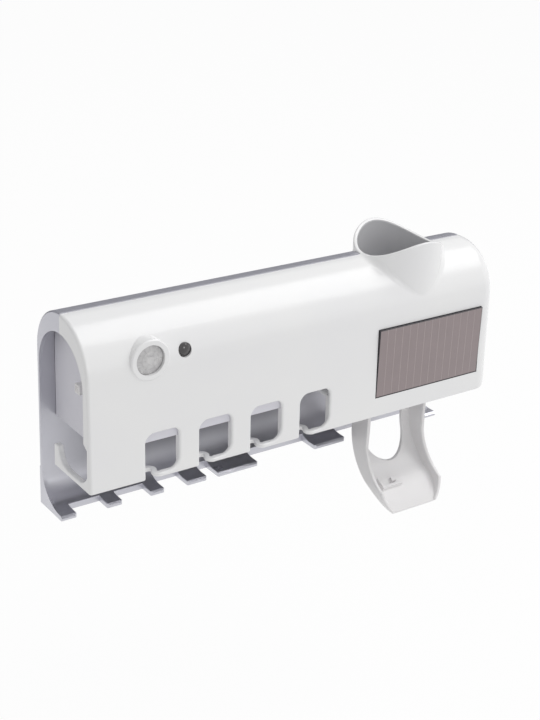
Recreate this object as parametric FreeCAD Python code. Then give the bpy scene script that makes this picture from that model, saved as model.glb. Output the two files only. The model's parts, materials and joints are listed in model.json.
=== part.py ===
import FreeCAD
import Part
import math
import os

# Lengths are millimetres. X runs from the left end, Y is zero on the wall with the front at minus Y,
# and Z is zero at the lower edge of the wall base. Finished pieces are moved to the part's own frame.

# Body, shared by the wall base and the front cover
body_length = 280.0
cap_length = 9.0
base_height = 123.5
seam_depth = 27.5
front_radius = 30.0
front_lean = 2.0
crown_step = 0.5
cover_bottom = 32.0
base_wall = 2.2
cover_wall = 2.2
end_radius = 10.0
left_edge = 1.6
lower_edge = 0.9
base_edge = 1.0
cap_gap = 0.5
origin_height = 60.0

# Clearances, and the overrun of every cut
fit_gap = 0.3
running_gap = 0.05
overrun = 3.0
touch = 0.01

# Arched opening of the left end
end_wall = 2.2
crown_band = 11.2
opening_radius = 25.0
opening_step_top = 59.5
opening_step_low = 57.0
opening_lip = 2.4

# Comb along the lower edge of the wall base: each gap runs from one prong to the next, in shares of
# the body's length, and the last one is placed from the lever
comb_radius = 18.0
prong_thickness = 2.9
prong_reach = 26.0
prong_edge = 1.2
prong_round = 0.6
ledge_reach = 15.5
notch_reach = 12.0
gusset_width = 2.2
gusset_height = 23.0
gusset_reach = 23.0
comb_gap_shares = [(0.034, 0.102), (0.136, 0.202)]
comb_notch_shares = [(0.234, 0.289), (0.336, 0.364), (0.464, 0.614)]
lever_notch_left = 27.0
lever_notch_right = 36.0
comb_end_gap = 3.0

# Hanging holes and screw places in the wall base
hanging_radius = 2.4
hanging_drop = 48.5
hanging_spacing = 110.0
cover_screw_drop = 28.5
cover_screw_low = 38.0
cover_screw_box_gap = 7.0
cover_screw_collar_gap = 42.0
cover_screw_end_gap = 18.0
screw_post_radius = 5.0
screw_post_length = 5.5
screw_head_radius = 2.8
screw_head_height = 1.8
screw_head_sink = 2.4
screw_radius = 1.4
screw_length = 12.0
cover_post_radius = 4.0

# Ribs and hooks that hold the brush necks
rib_thickness = 3.6
rib_rear = 19.0
rib_top = 45.5
rib_floor = 3.2
rib_post = 4.2
rib_front_radius = 10.0
rib_rear_radius = 10.0
rib_edge = 0.9
hook_edge = 0.7
hook_half_width = 1.6
hook_height = 2.4
hook_step = 8.4
hook_foot_share = 0.524
hook_shift_share = 0.19
hook_gap_share = 0.114
hook_lap = 0.3

# Brush windows
window_count = 4
window_pitch_share = 0.12
window_width_share = 0.075
window_top = 58.5
window_left_radius = 6.0
window_right_radius = 4.0
window_foot_radius = 7.5
window_edge = 1.2
jamb_depth = 4.2
jamb_thickness = 2.0

# Motion sensor and indicator
sensor_x = 36.9
sensor_drop = 22.7
boss_radius = 11.5
boss_face = 0.5
boss_depth = 11.0
boss_edge = 0.6
lens_radius = 8.2
lens_flange = 1.5
lens_flange_thickness = 1.4
lens_wall = 1.0
lens_dome = 1.6
lens_recess = 0.4
indicator_shift = 21.6
indicator_rise = 0.9
indicator_radius = 4.0
bezel_wall = 1.1
bezel_recess = 0.4
bezel_length = 8.0
led_radius = 2.4
led_dome_depth = 9.5

# Solar panel in the front face
panel_inset = 12.0
panel_low = 44.5
panel_width = 79.0
panel_top_gap = 6.0
panel_thickness = 0.8
gasket_thickness = 0.4
gasket_margin = 0.35

# Tube collar
collar_inset = 58.0
collar_y = -29.5
collar_radius = 26.5
collar_wall = 2.5
collar_low = 74.0
collar_ledge = 2.5
collar_ledge_width = 4.0
rim_lift = 0.5
rim_rise = 12.0
rim_edge = 0.9
collar_foot = 4.5

# Electronics box in the left half
box_start = 9.5
box_end_gap = 3.2
box_floor = 53.0
box_wall = 1.6
box_rear = 8.0
box_window_side = 4.0
box_window_below = 15.0
box_window_above = 19.0
tray_thickness = 2.0

# Lamps over the brush heads
lamp_y = -31.0
lamp_slot_start = 32.0
lamp_end_inset = 13.0
lamp_slot_width = 10.0
lamp_window_lap = 1.8
lamp_window_thickness = 1.2
strip_start = 22.0
strip_end_inset = 4.0
strip_width = 8.0
strip_thickness = 1.2
strip_rise = 3.4
strip_block = 4.0
led_count = 5
led_side = 5.0
led_height = 1.8

# Battery and boards
cell_start = 32.0
cell_length = 65.0
cell_radius = 9.2
cell_y = -30.0
cell_z = 73.0
cell_tip_radius = 2.8
cell_tip_length = 1.2
cradle_wall = 1.6
cradle_leg = 2.0
cradle_leg_length = 5.0
cradle_leg_inset = 8.0
board_start = 30.0
board_end_inset = 13.0
board_low = 57.0
board_drop = 23.5
board_thickness = 1.6
board_standoff = 2.4
board_inset = 4.0
standoff_radius = 2.6
chip_start_shares = [0.18, 0.45, 0.72]
chip_width_shares = [0.11, 0.08, 0.1]
chip_drops = [18.0, 15.0, 18.0]
chip_depths = [7.0, 5.0, 8.0]
chip_heights = [1.4, 1.2, 3.5]
sensor_board_left = 11.0
sensor_board_right = 31.0
sensor_board_half = 11.0
sensor_board_depth = 43.0
sensor_post_offsets = [(15.0, -7.0), (28.0, 8.0)]
sensor_can_radius = 4.6
sensor_can_length = 6.0
small_screw_radius = 1.0
small_screw_length = 5.0
small_head_radius = 1.9
small_head_height = 1.2

# Slide switch on the box's end wall
switch_y = -38.5
switch_drop = 39.3
switch_travel = 2.5
knob_width = 5.6
knob_height = 5.6
knob_reach = 5.4
knob_edge = 0.8
knob_stem = 3.0
slot_width = 3.4
slot_end = 2.0
switch_body_depth = 6.0
switch_body_width = 10.0
switch_body_margin = 1.5

# Tube seat and seal under the collar
seat_gap = 0.4
seat_rim = 5.5
seat_wall = 2.0
seat_neck_radius = 7.2
seat_neck_low = 63.0
seat_lip = 1.5
seat_lip_width = 2.0
seal_hole = 4.6
seal_height = 8.0

# Squeezer pump
pump_half_width = 17.0
pump_front = 47.0
pump_rear = 9.0
pump_low = 50.0
pump_top = 72.0
pump_edge = 5.0
socket_low = 61.0
inlet_radius = 4.0
channel_radius = 3.2
valve_thickness = 1.6
valve_bill_radius = 3.0
valve_bill_length = 4.0
nozzle_y = -39.0
nozzle_radius = 4.5
nozzle_seat = 5.0
nozzle_flange = 2.0
nozzle_flange_thickness = 1.8
nozzle_tip_radius = 2.6
nozzle_length = 17.0
nozzle_bore = 1.8
ear_thickness = 3.0
ear_radius = 7.0
pump_screw_offset = 11.0
pump_screw_z = 64.0

# Plunger, its spring and its bellows
plunger_y = -19.0
bore_radius = 8.6
bore_top = 59.0
cap_thickness = 2.0
head_radius = 7.6
head_thickness = 2.0
stem_radius = 2.5
foot_radius = 2.5
foot_length = 14.0
spring_wire = 0.9
spring_radius = 6.6
spring_turns = 3
spring_sides = 6
bellows_radius = 5.0
bellows_fold = 1.2
bellows_wall = 0.9
bellows_folds = 2

# Scoop lever
lever_half_width = 23.0
lever_wall = 2.4
lever_pivot_y = -34.0
lever_pivot_z = 40.0
lever_hub_radius = 8.0
lever_straight_low = 12.0
lever_rim_bend = 2.0
lever_web_top = 26.0
lever_spread = 1.2
lever_edge = 0.8
scoop_rim_y = -61.0
scoop_rim_z = -22.0
scoop_rim_sag = 2.6
scoop_hip_y = -46.0
scoop_hip_z = -22.0
scoop_lip_y = -63.0
scoop_lip_z = -37.0
scoop_lip_edge = 2.5
scoop_lip_half_width = 11.0
scoop_corner_top = 17.0
scoop_cut_half_width = 15.0
scoop_cut_low = -14.0
toe_reach = 15.0
toe_width = 6.0
toe_thickness = 4.0
toe_drop = 3.0
tab_width = 15.0
tab_shift = 10.0
tab_length = 8.0
tab_rise = 2.0
tab_rib = 1.8
tab_block = 3.0
pin_radius = 1.5
pin_head_radius = 2.4
pin_head_thickness = 1.0

# Places that follow from the sizes above
base_length = body_length - cap_length
seam_y = -seam_depth
cover_crown = base_height - crown_step
front_spring = cover_crown - front_radius
front_y = seam_y - front_radius
opening_spring = base_height - crown_band - opening_radius
hanging_z = base_height - hanging_drop
window_pitch = window_pitch_share * body_length
window_width = window_width_share * body_length
hook_foot = hook_foot_share * window_width
hook_shift = hook_shift_share * window_width
hook_gap = hook_gap_share * window_width
sensor_z = base_height - sensor_drop
indicator_x = sensor_x + indicator_shift
indicator_z = sensor_z + indicator_rise
panel_left = body_length - panel_inset - panel_width
panel_height = front_spring - panel_top_gap - panel_low
collar_x = body_length - collar_inset
rim_low = base_height + rim_lift
collar_inner = collar_radius - collar_wall
collar_top = rim_low + rim_rise
box_inset = cover_wall + fit_gap
box_end = window_pitch * (window_count - 1) + window_width + box_end_gap
lamp_slot_end = box_end - lamp_end_inset
strip_end = box_end - strip_end_inset
board_end = box_end - board_end_inset
board_high = base_height - board_drop
switch_z = base_height - switch_drop
tray_top = box_floor + tray_thickness
strip_low = tray_top + strip_rise
toe_top = lever_pivot_z - toe_drop
plunger_foot_z = toe_top + fit_gap + foot_radius
plunger_stop = pump_low + fit_gap
lever_left = collar_x - lever_half_width
lever_right = collar_x + lever_half_width

mid_arc = 45.0
quarter = 90.0
parallel_share = 0.99
along_x = FreeCAD.Vector(1, 0, 0)
along_y = FreeCAD.Vector(0, 1, 0)
along_z = FreeCAD.Vector(0, 0, 1)


def vec(x, y, z):
    return FreeCAD.Vector(x, y, z)


def polar(center, radius, degrees):
    angle = math.radians(degrees)
    return (center[0] + radius * math.cos(angle), center[1] + radius * math.sin(angle))


def on_yz(point):
    return vec(0, point[0], point[1])


def on_xz(point):
    return vec(point[0], 0, point[1])


def on_xy(point):
    return vec(point[0], point[1], 0)


def drawn_face(plane, start, steps):
    # each step is one end point, or a point on an arc and its end point; the outline closes itself
    edges = []
    here = plane(start)
    for step in steps + [[start]]:
        there = plane(step[-1])
        if len(step) > 1:
            edges.append(Part.Arc(here, plane(step[0]), there).toShape())
        elif here.distanceToPoint(there) > touch:
            edges.append(Part.LineSegment(here, there).toShape())
        here = there
    return Part.Face(Part.Wire(edges))


def slab(face, axis, start, end):
    return face.translated(axis * start).extrude(axis * (end - start))


def box(x_low, x_high, y_low, y_high, z_low, z_high):
    return Part.makeBox(x_high - x_low, y_high - y_low, z_high - z_low, vec(x_low, y_low, z_low))


def rod(radius, start, end):
    axis = end - start
    return Part.makeCylinder(radius, axis.Length, start, axis)


def upright(radius, x, y, low, high):
    return rod(radius, vec(x, y, low), vec(x, y, high))


def level(radius, x, z, rear, front):
    return rod(radius, vec(x, rear, z), vec(x, front, z))


def crosswise(radius, y, z, left, right):
    return rod(radius, vec(left, y, z), vec(right, y, z))


def spun(x, y, points):
    # turns a profile of radius and height about an upright axis
    corners = [vec(x + radius, y, height) for radius, height in points]
    profile = Part.Face(Part.makePolygon(corners + corners[:1]))
    return profile.revolve(vec(x, y, 0), along_z, 4 * quarter)


def spun_forward(x, z, points):
    # turns a profile of radius and Y about an axis that points out of the front
    corners = [vec(x + radius, depth, z) for radius, depth in points]
    profile = Part.Face(Part.makePolygon(corners + corners[:1]))
    return profile.revolve(vec(x, 0, z), along_y, 4 * quarter)


def rounded(shape, radius, wanted):
    # rounds the edges whose two ends and middle all meet the test
    chosen = []
    for edge in shape.Edges:
        first, last = edge.FirstParameter, edge.LastParameter
        points = [edge.valueAt(place) for place in (first, (first + last) / 2, last)]
        if all(wanted(point) for point in points):
            chosen.append(edge)
    return shape.makeFillet(radius, chosen)


def joined(shapes):
    return shapes[0].fuse(shapes[1:]).removeSplitter()


def edges_along(shape, axis):
    straight = [edge for edge in shape.Edges if isinstance(edge.Curve, Part.Line)]
    return [edge for edge in straight if abs(edge.Curve.Direction.dot(axis)) > parallel_share]


def front_at(height):
    drop = (front_spring - height) / (front_spring - cover_bottom)
    return front_y - front_lean * drop


def rear_half(rear, crown, low):
    radius = seam_depth - rear
    spring = crown - radius
    return drawn_face(on_yz, (-rear, low), [
        [(-rear, spring)],
        [polar((seam_y, spring), radius, mid_arc), (seam_y, crown)],
        [(seam_y, low)]])


def front_half(inset, low):
    radius = front_radius - inset
    return drawn_face(on_yz, (seam_y, cover_crown - inset), [
        [polar((seam_y, front_spring), radius, quarter + mid_arc), (front_y + inset, front_spring)],
        [(front_at(low) + inset, low)],
        [(seam_y, low)]])


def end_opening(low):
    front = seam_y - opening_radius
    rear = seam_y + opening_radius
    lip = front_at(opening_step_low) + opening_lip
    face = drawn_face(on_yz, (lip, low), [
        [(lip, opening_step_low)],
        [(front, opening_step_top)],
        [(front, opening_spring)],
        [(seam_y, opening_spring + opening_radius), (rear, opening_spring)],
        [(rear, low)]])
    return slab(face, along_x, -overrun, end_wall + touch)


def comb_gap(start, end, reach):
    face = drawn_face(on_xy, (start - prong_edge, -prong_reach - overrun), [
        [(start - prong_edge, -prong_reach)],
        [(start, -prong_reach + prong_edge)],
        [(start, -reach)],
        [(end, -reach)],
        [(end, -prong_reach + prong_edge)],
        [(end + prong_edge, -prong_reach)],
        [(end + prong_edge, -prong_reach - overrun)]])
    return slab(face, along_z, -overrun, gusset_height + overrun)


def on_prong_top(point):
    inside = touch < point.x < base_length - comb_end_gap - touch
    return inside and point.y < -notch_reach + touch and point.z > prong_thickness - prong_edge - touch


def comb():
    tip = -prong_reach
    half_edge = prong_edge / 2
    center = (-base_wall - comb_radius, prong_thickness + comb_radius)
    profile = drawn_face(on_yz, (0, 0), [
        [(0, center[1])],
        [(-base_wall, center[1])],
        [polar(center, comb_radius, -mid_arc), (center[0], prong_thickness)],
        [(tip + prong_edge, prong_thickness)],
        [(tip, prong_thickness - prong_edge)],
        [(tip, half_edge)],
        [(tip + half_edge, 0)]])
    bar = slab(profile, along_x, 0, base_length - comb_end_gap)
    gaps = [comb_gap(collar_x - lever_notch_left, collar_x + lever_notch_right, notch_reach)]
    for shares, reach in ((comb_gap_shares, ledge_reach), (comb_notch_shares, notch_reach)):
        gaps += [comb_gap(start * body_length, end * body_length, reach) for start, end in shares]
    bar = rounded(bar.cut(gaps), prong_round, on_prong_top)
    sag = polar((-gusset_reach, gusset_height), gusset_height - prong_thickness, -mid_arc)
    gusset = drawn_face(on_yz, (0, 0), [
        [(0, gusset_height)],
        [(-base_wall, gusset_height)],
        [sag, (-gusset_reach, prong_thickness)],
        [(-gusset_reach, 0)]])
    return bar.fuse(slab(gusset, along_x, 0, gusset_width))


def cover_screw_places():
    high = base_height - cover_screw_drop
    by_collar = collar_x - cover_screw_collar_gap
    by_end = body_length - cover_screw_end_gap
    low_places = [(x, cover_screw_low) for x in (by_collar, by_end)]
    return low_places + [(x, high) for x in (box_end + cover_screw_box_gap, by_collar, by_end)]


def sensor_post_places():
    return [(sensor_x + across, sensor_z + up) for across, up in sensor_post_offsets]


def rear_screw_places():
    places = [(x, z, screw_post_length) for x, z in cover_screw_places()]
    for side in (-1, 1):
        places.append((collar_x + side * pump_screw_offset, pump_screw_z, pump_rear))
    return places


def wall_base():
    shell = slab(rear_half(0, base_height, 0), along_x, 0, base_length)
    inside = rear_half(base_wall, base_height - base_wall, -overrun)
    hollow = slab(inside, along_x, end_wall, base_length - base_wall)
    foot = box(base_length - base_wall - touch, base_length + overrun, seam_y - overrun, -base_wall,
               -overrun, cover_bottom)
    spring = base_height - seam_depth - touch
    shell = rounded(shell, base_edge, lambda point: point.x < touch and point.z > spring)
    base = shell.cut([hollow, foot, end_opening(-overrun)])
    additions = [comb()]
    holes = []
    for x, z, length in rear_screw_places():
        additions.append(level(screw_post_radius, x, z, 0, -length))
        holes.append(level(screw_radius + fit_gap, x, z, overrun, -length - overrun))
        holes.append(level(screw_head_radius + fit_gap, x, z, overrun, -screw_head_sink))
    for side in (-1, 1):
        x = (body_length + side * hanging_spacing) / 2
        holes.append(level(hanging_radius, x, hanging_z, overrun, -base_wall - overrun))
    collar_room = upright(collar_radius + fit_gap, collar_x, collar_y, collar_low - overrun, collar_top)
    return joined([base] + additions).cut(holes + [collar_room])


def cover_arch(inset, start, low):
    # the whole arch, front and rear, with its right end rounded
    end = body_length - inset
    rear = cap_gap + inset
    front = slab(front_half(inset, low), along_x, start, end)
    back = slab(rear_half(rear, cover_crown - inset, low), along_x, start, end)
    form = front.fuse(back).removeSplitter()
    end_edges = [edge for edge in form.Edges if edge.BoundBox.XMin > end - touch]
    rim = [edge for edge in end_edges if edge.BoundBox.YMin < -rear - touch]
    return form.makeFillet(end_radius - inset, rim)


def rear_room(cap_start):
    # the space behind the seam that the wall base fills
    return box(-overrun, cap_start, seam_y, overrun, cover_bottom - overrun, collar_top + overrun)


def on_front(point):
    return abs(point.y - front_at(point.z)) < touch


def by_window(point):
    # on the rim of a window, but not on the end of its foot, where the hook goes on
    floor = cover_bottom + hook_height - touch
    for left in windows():
        foot_end = left + window_width - hook_foot
        inside = left - touch < point.x < left + window_width + touch and point.z < window_top + touch
        if inside and (point.z > floor or abs(point.x - foot_end) > touch):
            return on_front(point)
    return False


def on_collar_foot(point):
    reach = math.hypot(point.x - collar_x, point.y - collar_y)
    return abs(reach - collar_radius) < touch and front_spring < point.z < cover_crown + touch


def cover_outside():
    form = cover_arch(0, 0, cover_bottom)
    form = rounded(form, left_edge, lambda point: point.x < touch and point.y < -cap_gap - touch)
    form = form.cut([window_cut(left) for left in windows()])
    form = rounded(form, window_edge, by_window)
    form = rounded(form, lower_edge, lambda point: on_front(point) and point.z < cover_bottom + touch)
    form = form.fuse(collar()).removeSplitter()
    return rounded(form, collar_foot, on_collar_foot)


def rib_face():
    lip = front_at(opening_step_low) + opening_lip
    floor = cover_bottom + rib_floor
    post = -rib_rear - rib_post
    front_center = (lip + rib_front_radius, floor + rib_front_radius)
    rear_center = (post - rib_rear_radius, floor + rib_rear_radius)
    return drawn_face(on_yz, (-rib_rear, cover_bottom), [
        [(front_at(cover_bottom), cover_bottom)],
        [(front_at(opening_step_low), opening_step_low)],
        [(lip, opening_step_low)],
        [(lip, front_center[1])],
        [polar(front_center, rib_front_radius, -quarter - mid_arc), (front_center[0], floor)],
        [(rear_center[0], floor)],
        [polar(rear_center, rib_rear_radius, -mid_arc), (post, rear_center[1])],
        [(post, rib_top)],
        [(-rib_rear, rib_top)]])


def window_cut(left):
    right = left + window_width
    low = cover_bottom - overrun
    floor = cover_bottom + hook_height
    foot_end = right - hook_foot
    foot = (right - window_foot_radius, floor + window_foot_radius)
    left_center = (left + window_left_radius, window_top - window_left_radius)
    right_center = (right - window_right_radius, window_top - window_right_radius)
    face = drawn_face(on_xz, (left, low), [
        [(left, left_center[1])],
        [polar(left_center, window_left_radius, quarter + mid_arc), (left_center[0], window_top)],
        [(right_center[0], window_top)],
        [polar(right_center, window_right_radius, mid_arc), (right, right_center[1])],
        [(right, foot[1])],
        [polar(foot, window_foot_radius, -mid_arc), (foot[0], floor)],
        [(foot_end, floor)],
        [(foot_end, low)]])
    return slab(face, along_y, front_y - front_lean - overrun, front_y + cover_wall + overrun)


def hook(left):
    # a bar that goes on from the window's foot and steps back in a double bend, seen from above
    turn = 2 * math.degrees(math.atan2(hook_step, hook_shift))
    radius = hook_shift / (2 * math.sin(math.radians(turn)))
    jamb = left + window_width
    start = (jamb - hook_foot, front_at(cover_bottom) + hook_half_width)
    first = (start[0], start[1] + radius)
    second = polar(first, 2 * radius, -quarter - turn)
    wide = radius + hook_half_width
    narrow = radius - hook_half_width
    low, high = cover_bottom, cover_bottom + hook_height
    bend = drawn_face(on_xy, polar(first, wide, -quarter), [
        [polar(first, wide, -quarter - turn / 2), polar(first, wide, -quarter - turn)],
        [polar(second, narrow, quarter - turn / 2), polar(second, narrow, quarter)],
        [polar(second, wide, quarter)],
        [polar(second, wide, quarter - turn / 2), polar(second, wide, quarter - turn)],
        [polar(first, narrow, -quarter - turn / 2), polar(first, narrow, -quarter)]])
    tip_x = left + hook_gap + hook_half_width
    tip_y = second[1] + radius
    end = box(tip_x, second[0], tip_y - hook_half_width, tip_y + hook_half_width, low, high)
    tip = upright(hook_half_width, tip_x, tip_y, low, high)
    shape = joined([slab(bend, along_z, low, high), end, tip])
    flat = [edge for edge in shape.Edges
            if edge.BoundBox.ZLength < touch and edge.BoundBox.XMin < start[0] - touch]
    run = box(start[0], jamb + touch, start[1] - hook_half_width + cover_wall - hook_lap,
              start[1] + hook_half_width, low, high)
    return [shape.makeFillet(hook_edge, flat), run]


def jamb_flange(left):
    # stiffens the right side of a window behind the skin, up to the box
    top = min(window_top, box_floor - fit_gap)
    face = drawn_face(on_yz, (front_at(cover_bottom), cover_bottom), [
        [(front_at(top), top)],
        [(front_at(top) + jamb_depth, top)],
        [(front_at(cover_bottom) + jamb_depth, cover_bottom)]])
    return slab(face, along_x, left + window_width, left + window_width + jamb_thickness)


def windows():
    return [window_pitch * (index + 1) for index in range(window_count)]


def collar_block():
    return upright(collar_radius, collar_x, collar_y, collar_low, collar_top)


def collar():
    tube = collar_block()
    tube = tube.cut(upright(collar_inner, collar_x, collar_y, collar_low - overrun, collar_top + overrun))
    front = collar_y - collar_radius
    rear = collar_y + collar_radius
    saddle = drawn_face(on_yz, (front - overrun, collar_top), [
        [(front, collar_top)],
        [(collar_y, rim_low), (rear, collar_top)],
        [(rear + overrun, collar_top)],
        [(rear + overrun, collar_top + overrun)],
        [(front - overrun, collar_top + overrun)]])
    half = collar_radius + overrun
    tube = tube.cut(slab(saddle, along_x, collar_x - half, collar_x + half))
    rim = [edge for edge in tube.Edges if edge.BoundBox.ZMin > rim_low - touch]
    return tube.makeFillet(rim_edge, rim)


def panel_slab(margin, start_depth, end_depth):
    # a plate that follows the leaning front face, between two depths under it
    low = panel_low - margin
    high = panel_low + panel_height + margin
    face = drawn_face(on_yz, (front_at(low) + start_depth, low), [
        [(front_at(high) + start_depth, high)],
        [(front_at(high) + end_depth, high)],
        [(front_at(low) + end_depth, low)]])
    return slab(face, along_x, panel_left - margin, panel_left + panel_width + margin)


def sensor_boss():
    face = front_y - boss_face
    rear = front_y + boss_depth
    return spun_forward(sensor_x, sensor_z, [
        (0, rear), (boss_radius, rear), (boss_radius, face + boss_edge),
        (boss_radius - boss_edge, face), (0, face)])


def sensor_bore():
    face = front_y - boss_face
    seat = face + lens_dome + lens_recess
    hole = lens_radius + fit_gap
    wide = lens_radius + lens_flange + fit_gap
    return spun_forward(sensor_x, sensor_z, [
        (0, face - overrun), (hole, face - overrun), (hole, seat), (wide, seat),
        (wide, front_y + boss_depth + overrun), (0, front_y + boss_depth + overrun)])


def cover_room(kept):
    # the hollow behind the skin, round the pieces that stay
    inner = cover_arch(cover_wall, end_wall, cover_bottom + cover_wall).cut(rear_room(base_length - overrun))
    mouth = box(end_wall, body_length - end_radius, front_at(cover_bottom) + cover_wall, seam_y + touch,
                cover_bottom - overrun, cover_bottom + cover_wall + overrun)
    openings = [mouth, end_opening(cover_bottom - overrun), rear_room(base_length + fit_gap)]
    return inner.fuse(openings).cut(kept)


def end_rib():
    plate = slab(rib_face(), along_x, 0, rib_thickness)
    return rounded(plate, rib_edge, lambda point: not on_front(point) and point.z > cover_bottom + touch)


def cover_posts():
    # screw posts that reach forward to the skin, and their pilot holes
    posts = []
    pilots = []
    for x, z in cover_screw_places():
        rear = -screw_post_length
        posts.append(level(cover_post_radius, x, z, rear, front_y))
        pilots.append(level(screw_radius + running_gap, x, z, rear + overrun, rear - screw_length))
    for x, z in sensor_post_places():
        rear = -sensor_board_depth - board_thickness
        posts.append(level(standoff_radius, x, z, rear, front_y))
        pilot_end = rear - small_screw_length
        pilots.append(level(small_screw_radius + running_gap, x, z, rear + overrun, pilot_end))
    return posts, pilots


def front_cover():
    posts, pilots = cover_posts()
    kept = [end_rib(), collar_block()] + [jamb_flange(left) for left in windows()] + posts
    cover = cover_outside().cut(cover_room(kept))
    hooks = []
    for left in windows():
        hooks += hook(left)
    cover = joined([cover, sensor_boss()] + hooks)
    shelf = collar_low + collar_ledge
    throat = upright(collar_inner, collar_x, collar_y, shelf, cover_crown)
    seat_hole = upright(collar_inner - collar_ledge_width, collar_x, collar_y, collar_low - overrun, shelf)
    indicator_hole = level(indicator_radius, indicator_x, indicator_z,
                           front_y - overrun, front_y + boss_depth)
    recess = panel_slab(gasket_margin, -overrun, panel_thickness + gasket_thickness)
    return cover.cut([throat, seat_hole, indicator_hole, recess, sensor_bore()] + pilots)


def pir_lens():
    face = front_y - boss_face + lens_recess
    seat = face + lens_dome
    rear = seat + fit_gap
    flange = lens_radius + lens_flange
    back = rear + lens_flange_thickness
    dome_radius = (lens_radius ** 2 + lens_dome ** 2) / (2 * lens_dome)
    center = vec(sensor_x, face + dome_radius, sensor_z)
    ball = Part.makeSphere(dome_radius, center, along_y)
    body = level(lens_radius, sensor_x, sensor_z, face, (rear + back) / 2).common(ball)
    plate = level(flange, sensor_x, sensor_z, rear, back)
    inside = level(lens_radius - lens_wall, sensor_x, sensor_z, face, back + overrun)
    core = Part.makeSphere(dome_radius - lens_wall, center, along_y)
    return body.fuse(plate).cut(inside.common(core)).removeSplitter()


def pir_sensor():
    board = -sensor_board_depth - board_thickness
    return level(sensor_can_radius, sensor_x, sensor_z, board, board - sensor_can_length)


def indicator_bezel():
    rise = indicator_z - front_spring
    face = seam_y - math.sqrt(front_radius ** 2 - rise ** 2) + bezel_recess
    outer = indicator_radius - touch
    inner = outer - bezel_wall
    back = face + bezel_length
    return spun_forward(indicator_x, indicator_z, [
        (inner, face), (outer, face), (outer, back), (inner, back)])


def indicator_led():
    board = -sensor_board_depth - board_thickness
    neck = board - led_dome_depth
    body = level(led_radius, indicator_x, indicator_z, board, neck)
    return body.fuse(Part.makeSphere(led_radius, vec(indicator_x, neck, indicator_z))).removeSplitter()


def sensor_board():
    rear = -sensor_board_depth
    face = rear - board_thickness
    board = box(sensor_x - sensor_board_left, sensor_x + sensor_board_right, face, rear,
                sensor_z - sensor_board_half, sensor_z + sensor_board_half)
    holes = [level(small_screw_radius + fit_gap, x, z, rear + overrun, face - overrun)
             for x, z in sensor_post_places()]
    return board.cut(holes)


def screw(seat, axis, radius, length, head_radius, head_height):
    # the shank runs along the axis from the seat, with the head behind it
    shank = rod(radius, seat, seat + axis * length)
    return shank.fuse(rod(head_radius, seat - axis * head_height, seat)).removeSplitter()


def small_screw(x, z, seat_y, axis):
    return screw(vec(x, seat_y, z), axis, small_screw_radius, small_screw_length,
                 small_head_radius, small_head_height)


def sensor_screws():
    seat_y = -sensor_board_depth + running_gap
    return Part.makeCompound([small_screw(x, z, seat_y, -along_y) for x, z in sensor_post_places()])


def box_form(inset, start, end, low):
    total = box_inset + inset
    front = slab(front_half(total, low), along_x, start, end)
    rear = slab(rear_half(base_wall + fit_gap + inset, cover_crown - total, low), along_x, start, end)
    return front.fuse(rear).removeSplitter()


def forward_of(depth):
    return box(-overrun, body_length, front_y - front_lean - overrun, -depth, -overrun, base_height)


def board_screw_places():
    return [(x, z) for x in (board_start + board_inset, board_end - board_inset)
            for z in (board_low + board_inset, board_high - board_inset)]


def electronics_box():
    plate = box_form(0, box_start, box_start + box_wall, box_floor)
    shell = box_form(0, box_start, box_end, box_floor).common(forward_of(box_rear))
    hollow = box_form(box_wall, box_start + box_wall, box_end - box_wall, box_floor - overrun)
    hollow = hollow.common(forward_of(box_rear + box_wall))
    left = sensor_x - sensor_board_left - box_window_side
    right = sensor_x + sensor_board_right + box_window_side
    window = box(left, right, front_y - overrun, -sensor_board_depth + box_window_side,
                 sensor_z - box_window_below, sensor_z + box_window_above)
    stem_top = switch_z + switch_travel + knob_stem / 2 + slot_end
    stem_low = switch_z - knob_stem / 2 - slot_end
    half_slot = slot_width / 2
    slot = box(box_start - overrun, box_start + box_wall + touch,
               switch_y - half_slot, switch_y + half_slot, stem_low, stem_top)
    posts = []
    pilots = []
    wall_y = -box_rear - box_wall
    for x, z in board_screw_places():
        posts.append(level(standoff_radius, x, z, wall_y + touch, wall_y - board_standoff))
        pilots.append(level(small_screw_radius + running_gap, x, z, wall_y - overrun, -box_rear - touch))
    case = plate.fuse(shell).cut([hollow, window, slot])
    return joined([case] + posts).cut(pilots)


def main_board():
    rear = -box_rear - box_wall - board_standoff
    face = rear - board_thickness
    plate = box(board_start, board_end, face, rear, board_low, board_high)
    holes = [level(small_screw_radius + fit_gap, x, z, rear + overrun, face - overrun)
             for x, z in board_screw_places()]
    chips = []
    length = board_end - board_start
    for index, height in enumerate(chip_heights):
        x = board_start + chip_start_shares[index] * length
        z = board_high - chip_drops[index]
        chips.append(box(x, x + chip_width_shares[index] * length, face - height, face + touch,
                         z, z + chip_depths[index]))
    return joined([plate.cut(holes)] + chips)


def board_screws():
    face = -box_rear - box_wall - board_standoff - board_thickness
    return Part.makeCompound([small_screw(x, z, face, along_y) for x, z in board_screw_places()])


def tray_front():
    return front_at(box_floor + tray_thickness) + box_inset + box_wall + fit_gap


def lamp_tray():
    margin = box_wall + fit_gap
    plate = box(box_start + margin, box_end - margin, tray_front(), -box_rear - margin, box_floor, tray_top)
    half = lamp_slot_width / 2
    slot = box(lamp_slot_start, lamp_slot_end, lamp_y - half, lamp_y + half,
               box_floor - overrun, tray_top + overrun)
    half = strip_width / 2
    blocks = [box(start, start + strip_block, lamp_y - half, lamp_y + half, tray_top - touch, strip_low)
              for start in (strip_start, strip_end - strip_block)]
    return joined([plate.cut(slot)] + blocks)


def uv_window():
    half = lamp_slot_width / 2 + lamp_window_lap
    return box(lamp_slot_start - lamp_window_lap, lamp_slot_end + lamp_window_lap,
               lamp_y - half, lamp_y + half, tray_top, tray_top + lamp_window_thickness)


def uv_strip():
    half = strip_width / 2
    return box(strip_start, strip_end, lamp_y - half, lamp_y + half, strip_low, strip_low + strip_thickness)


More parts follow.
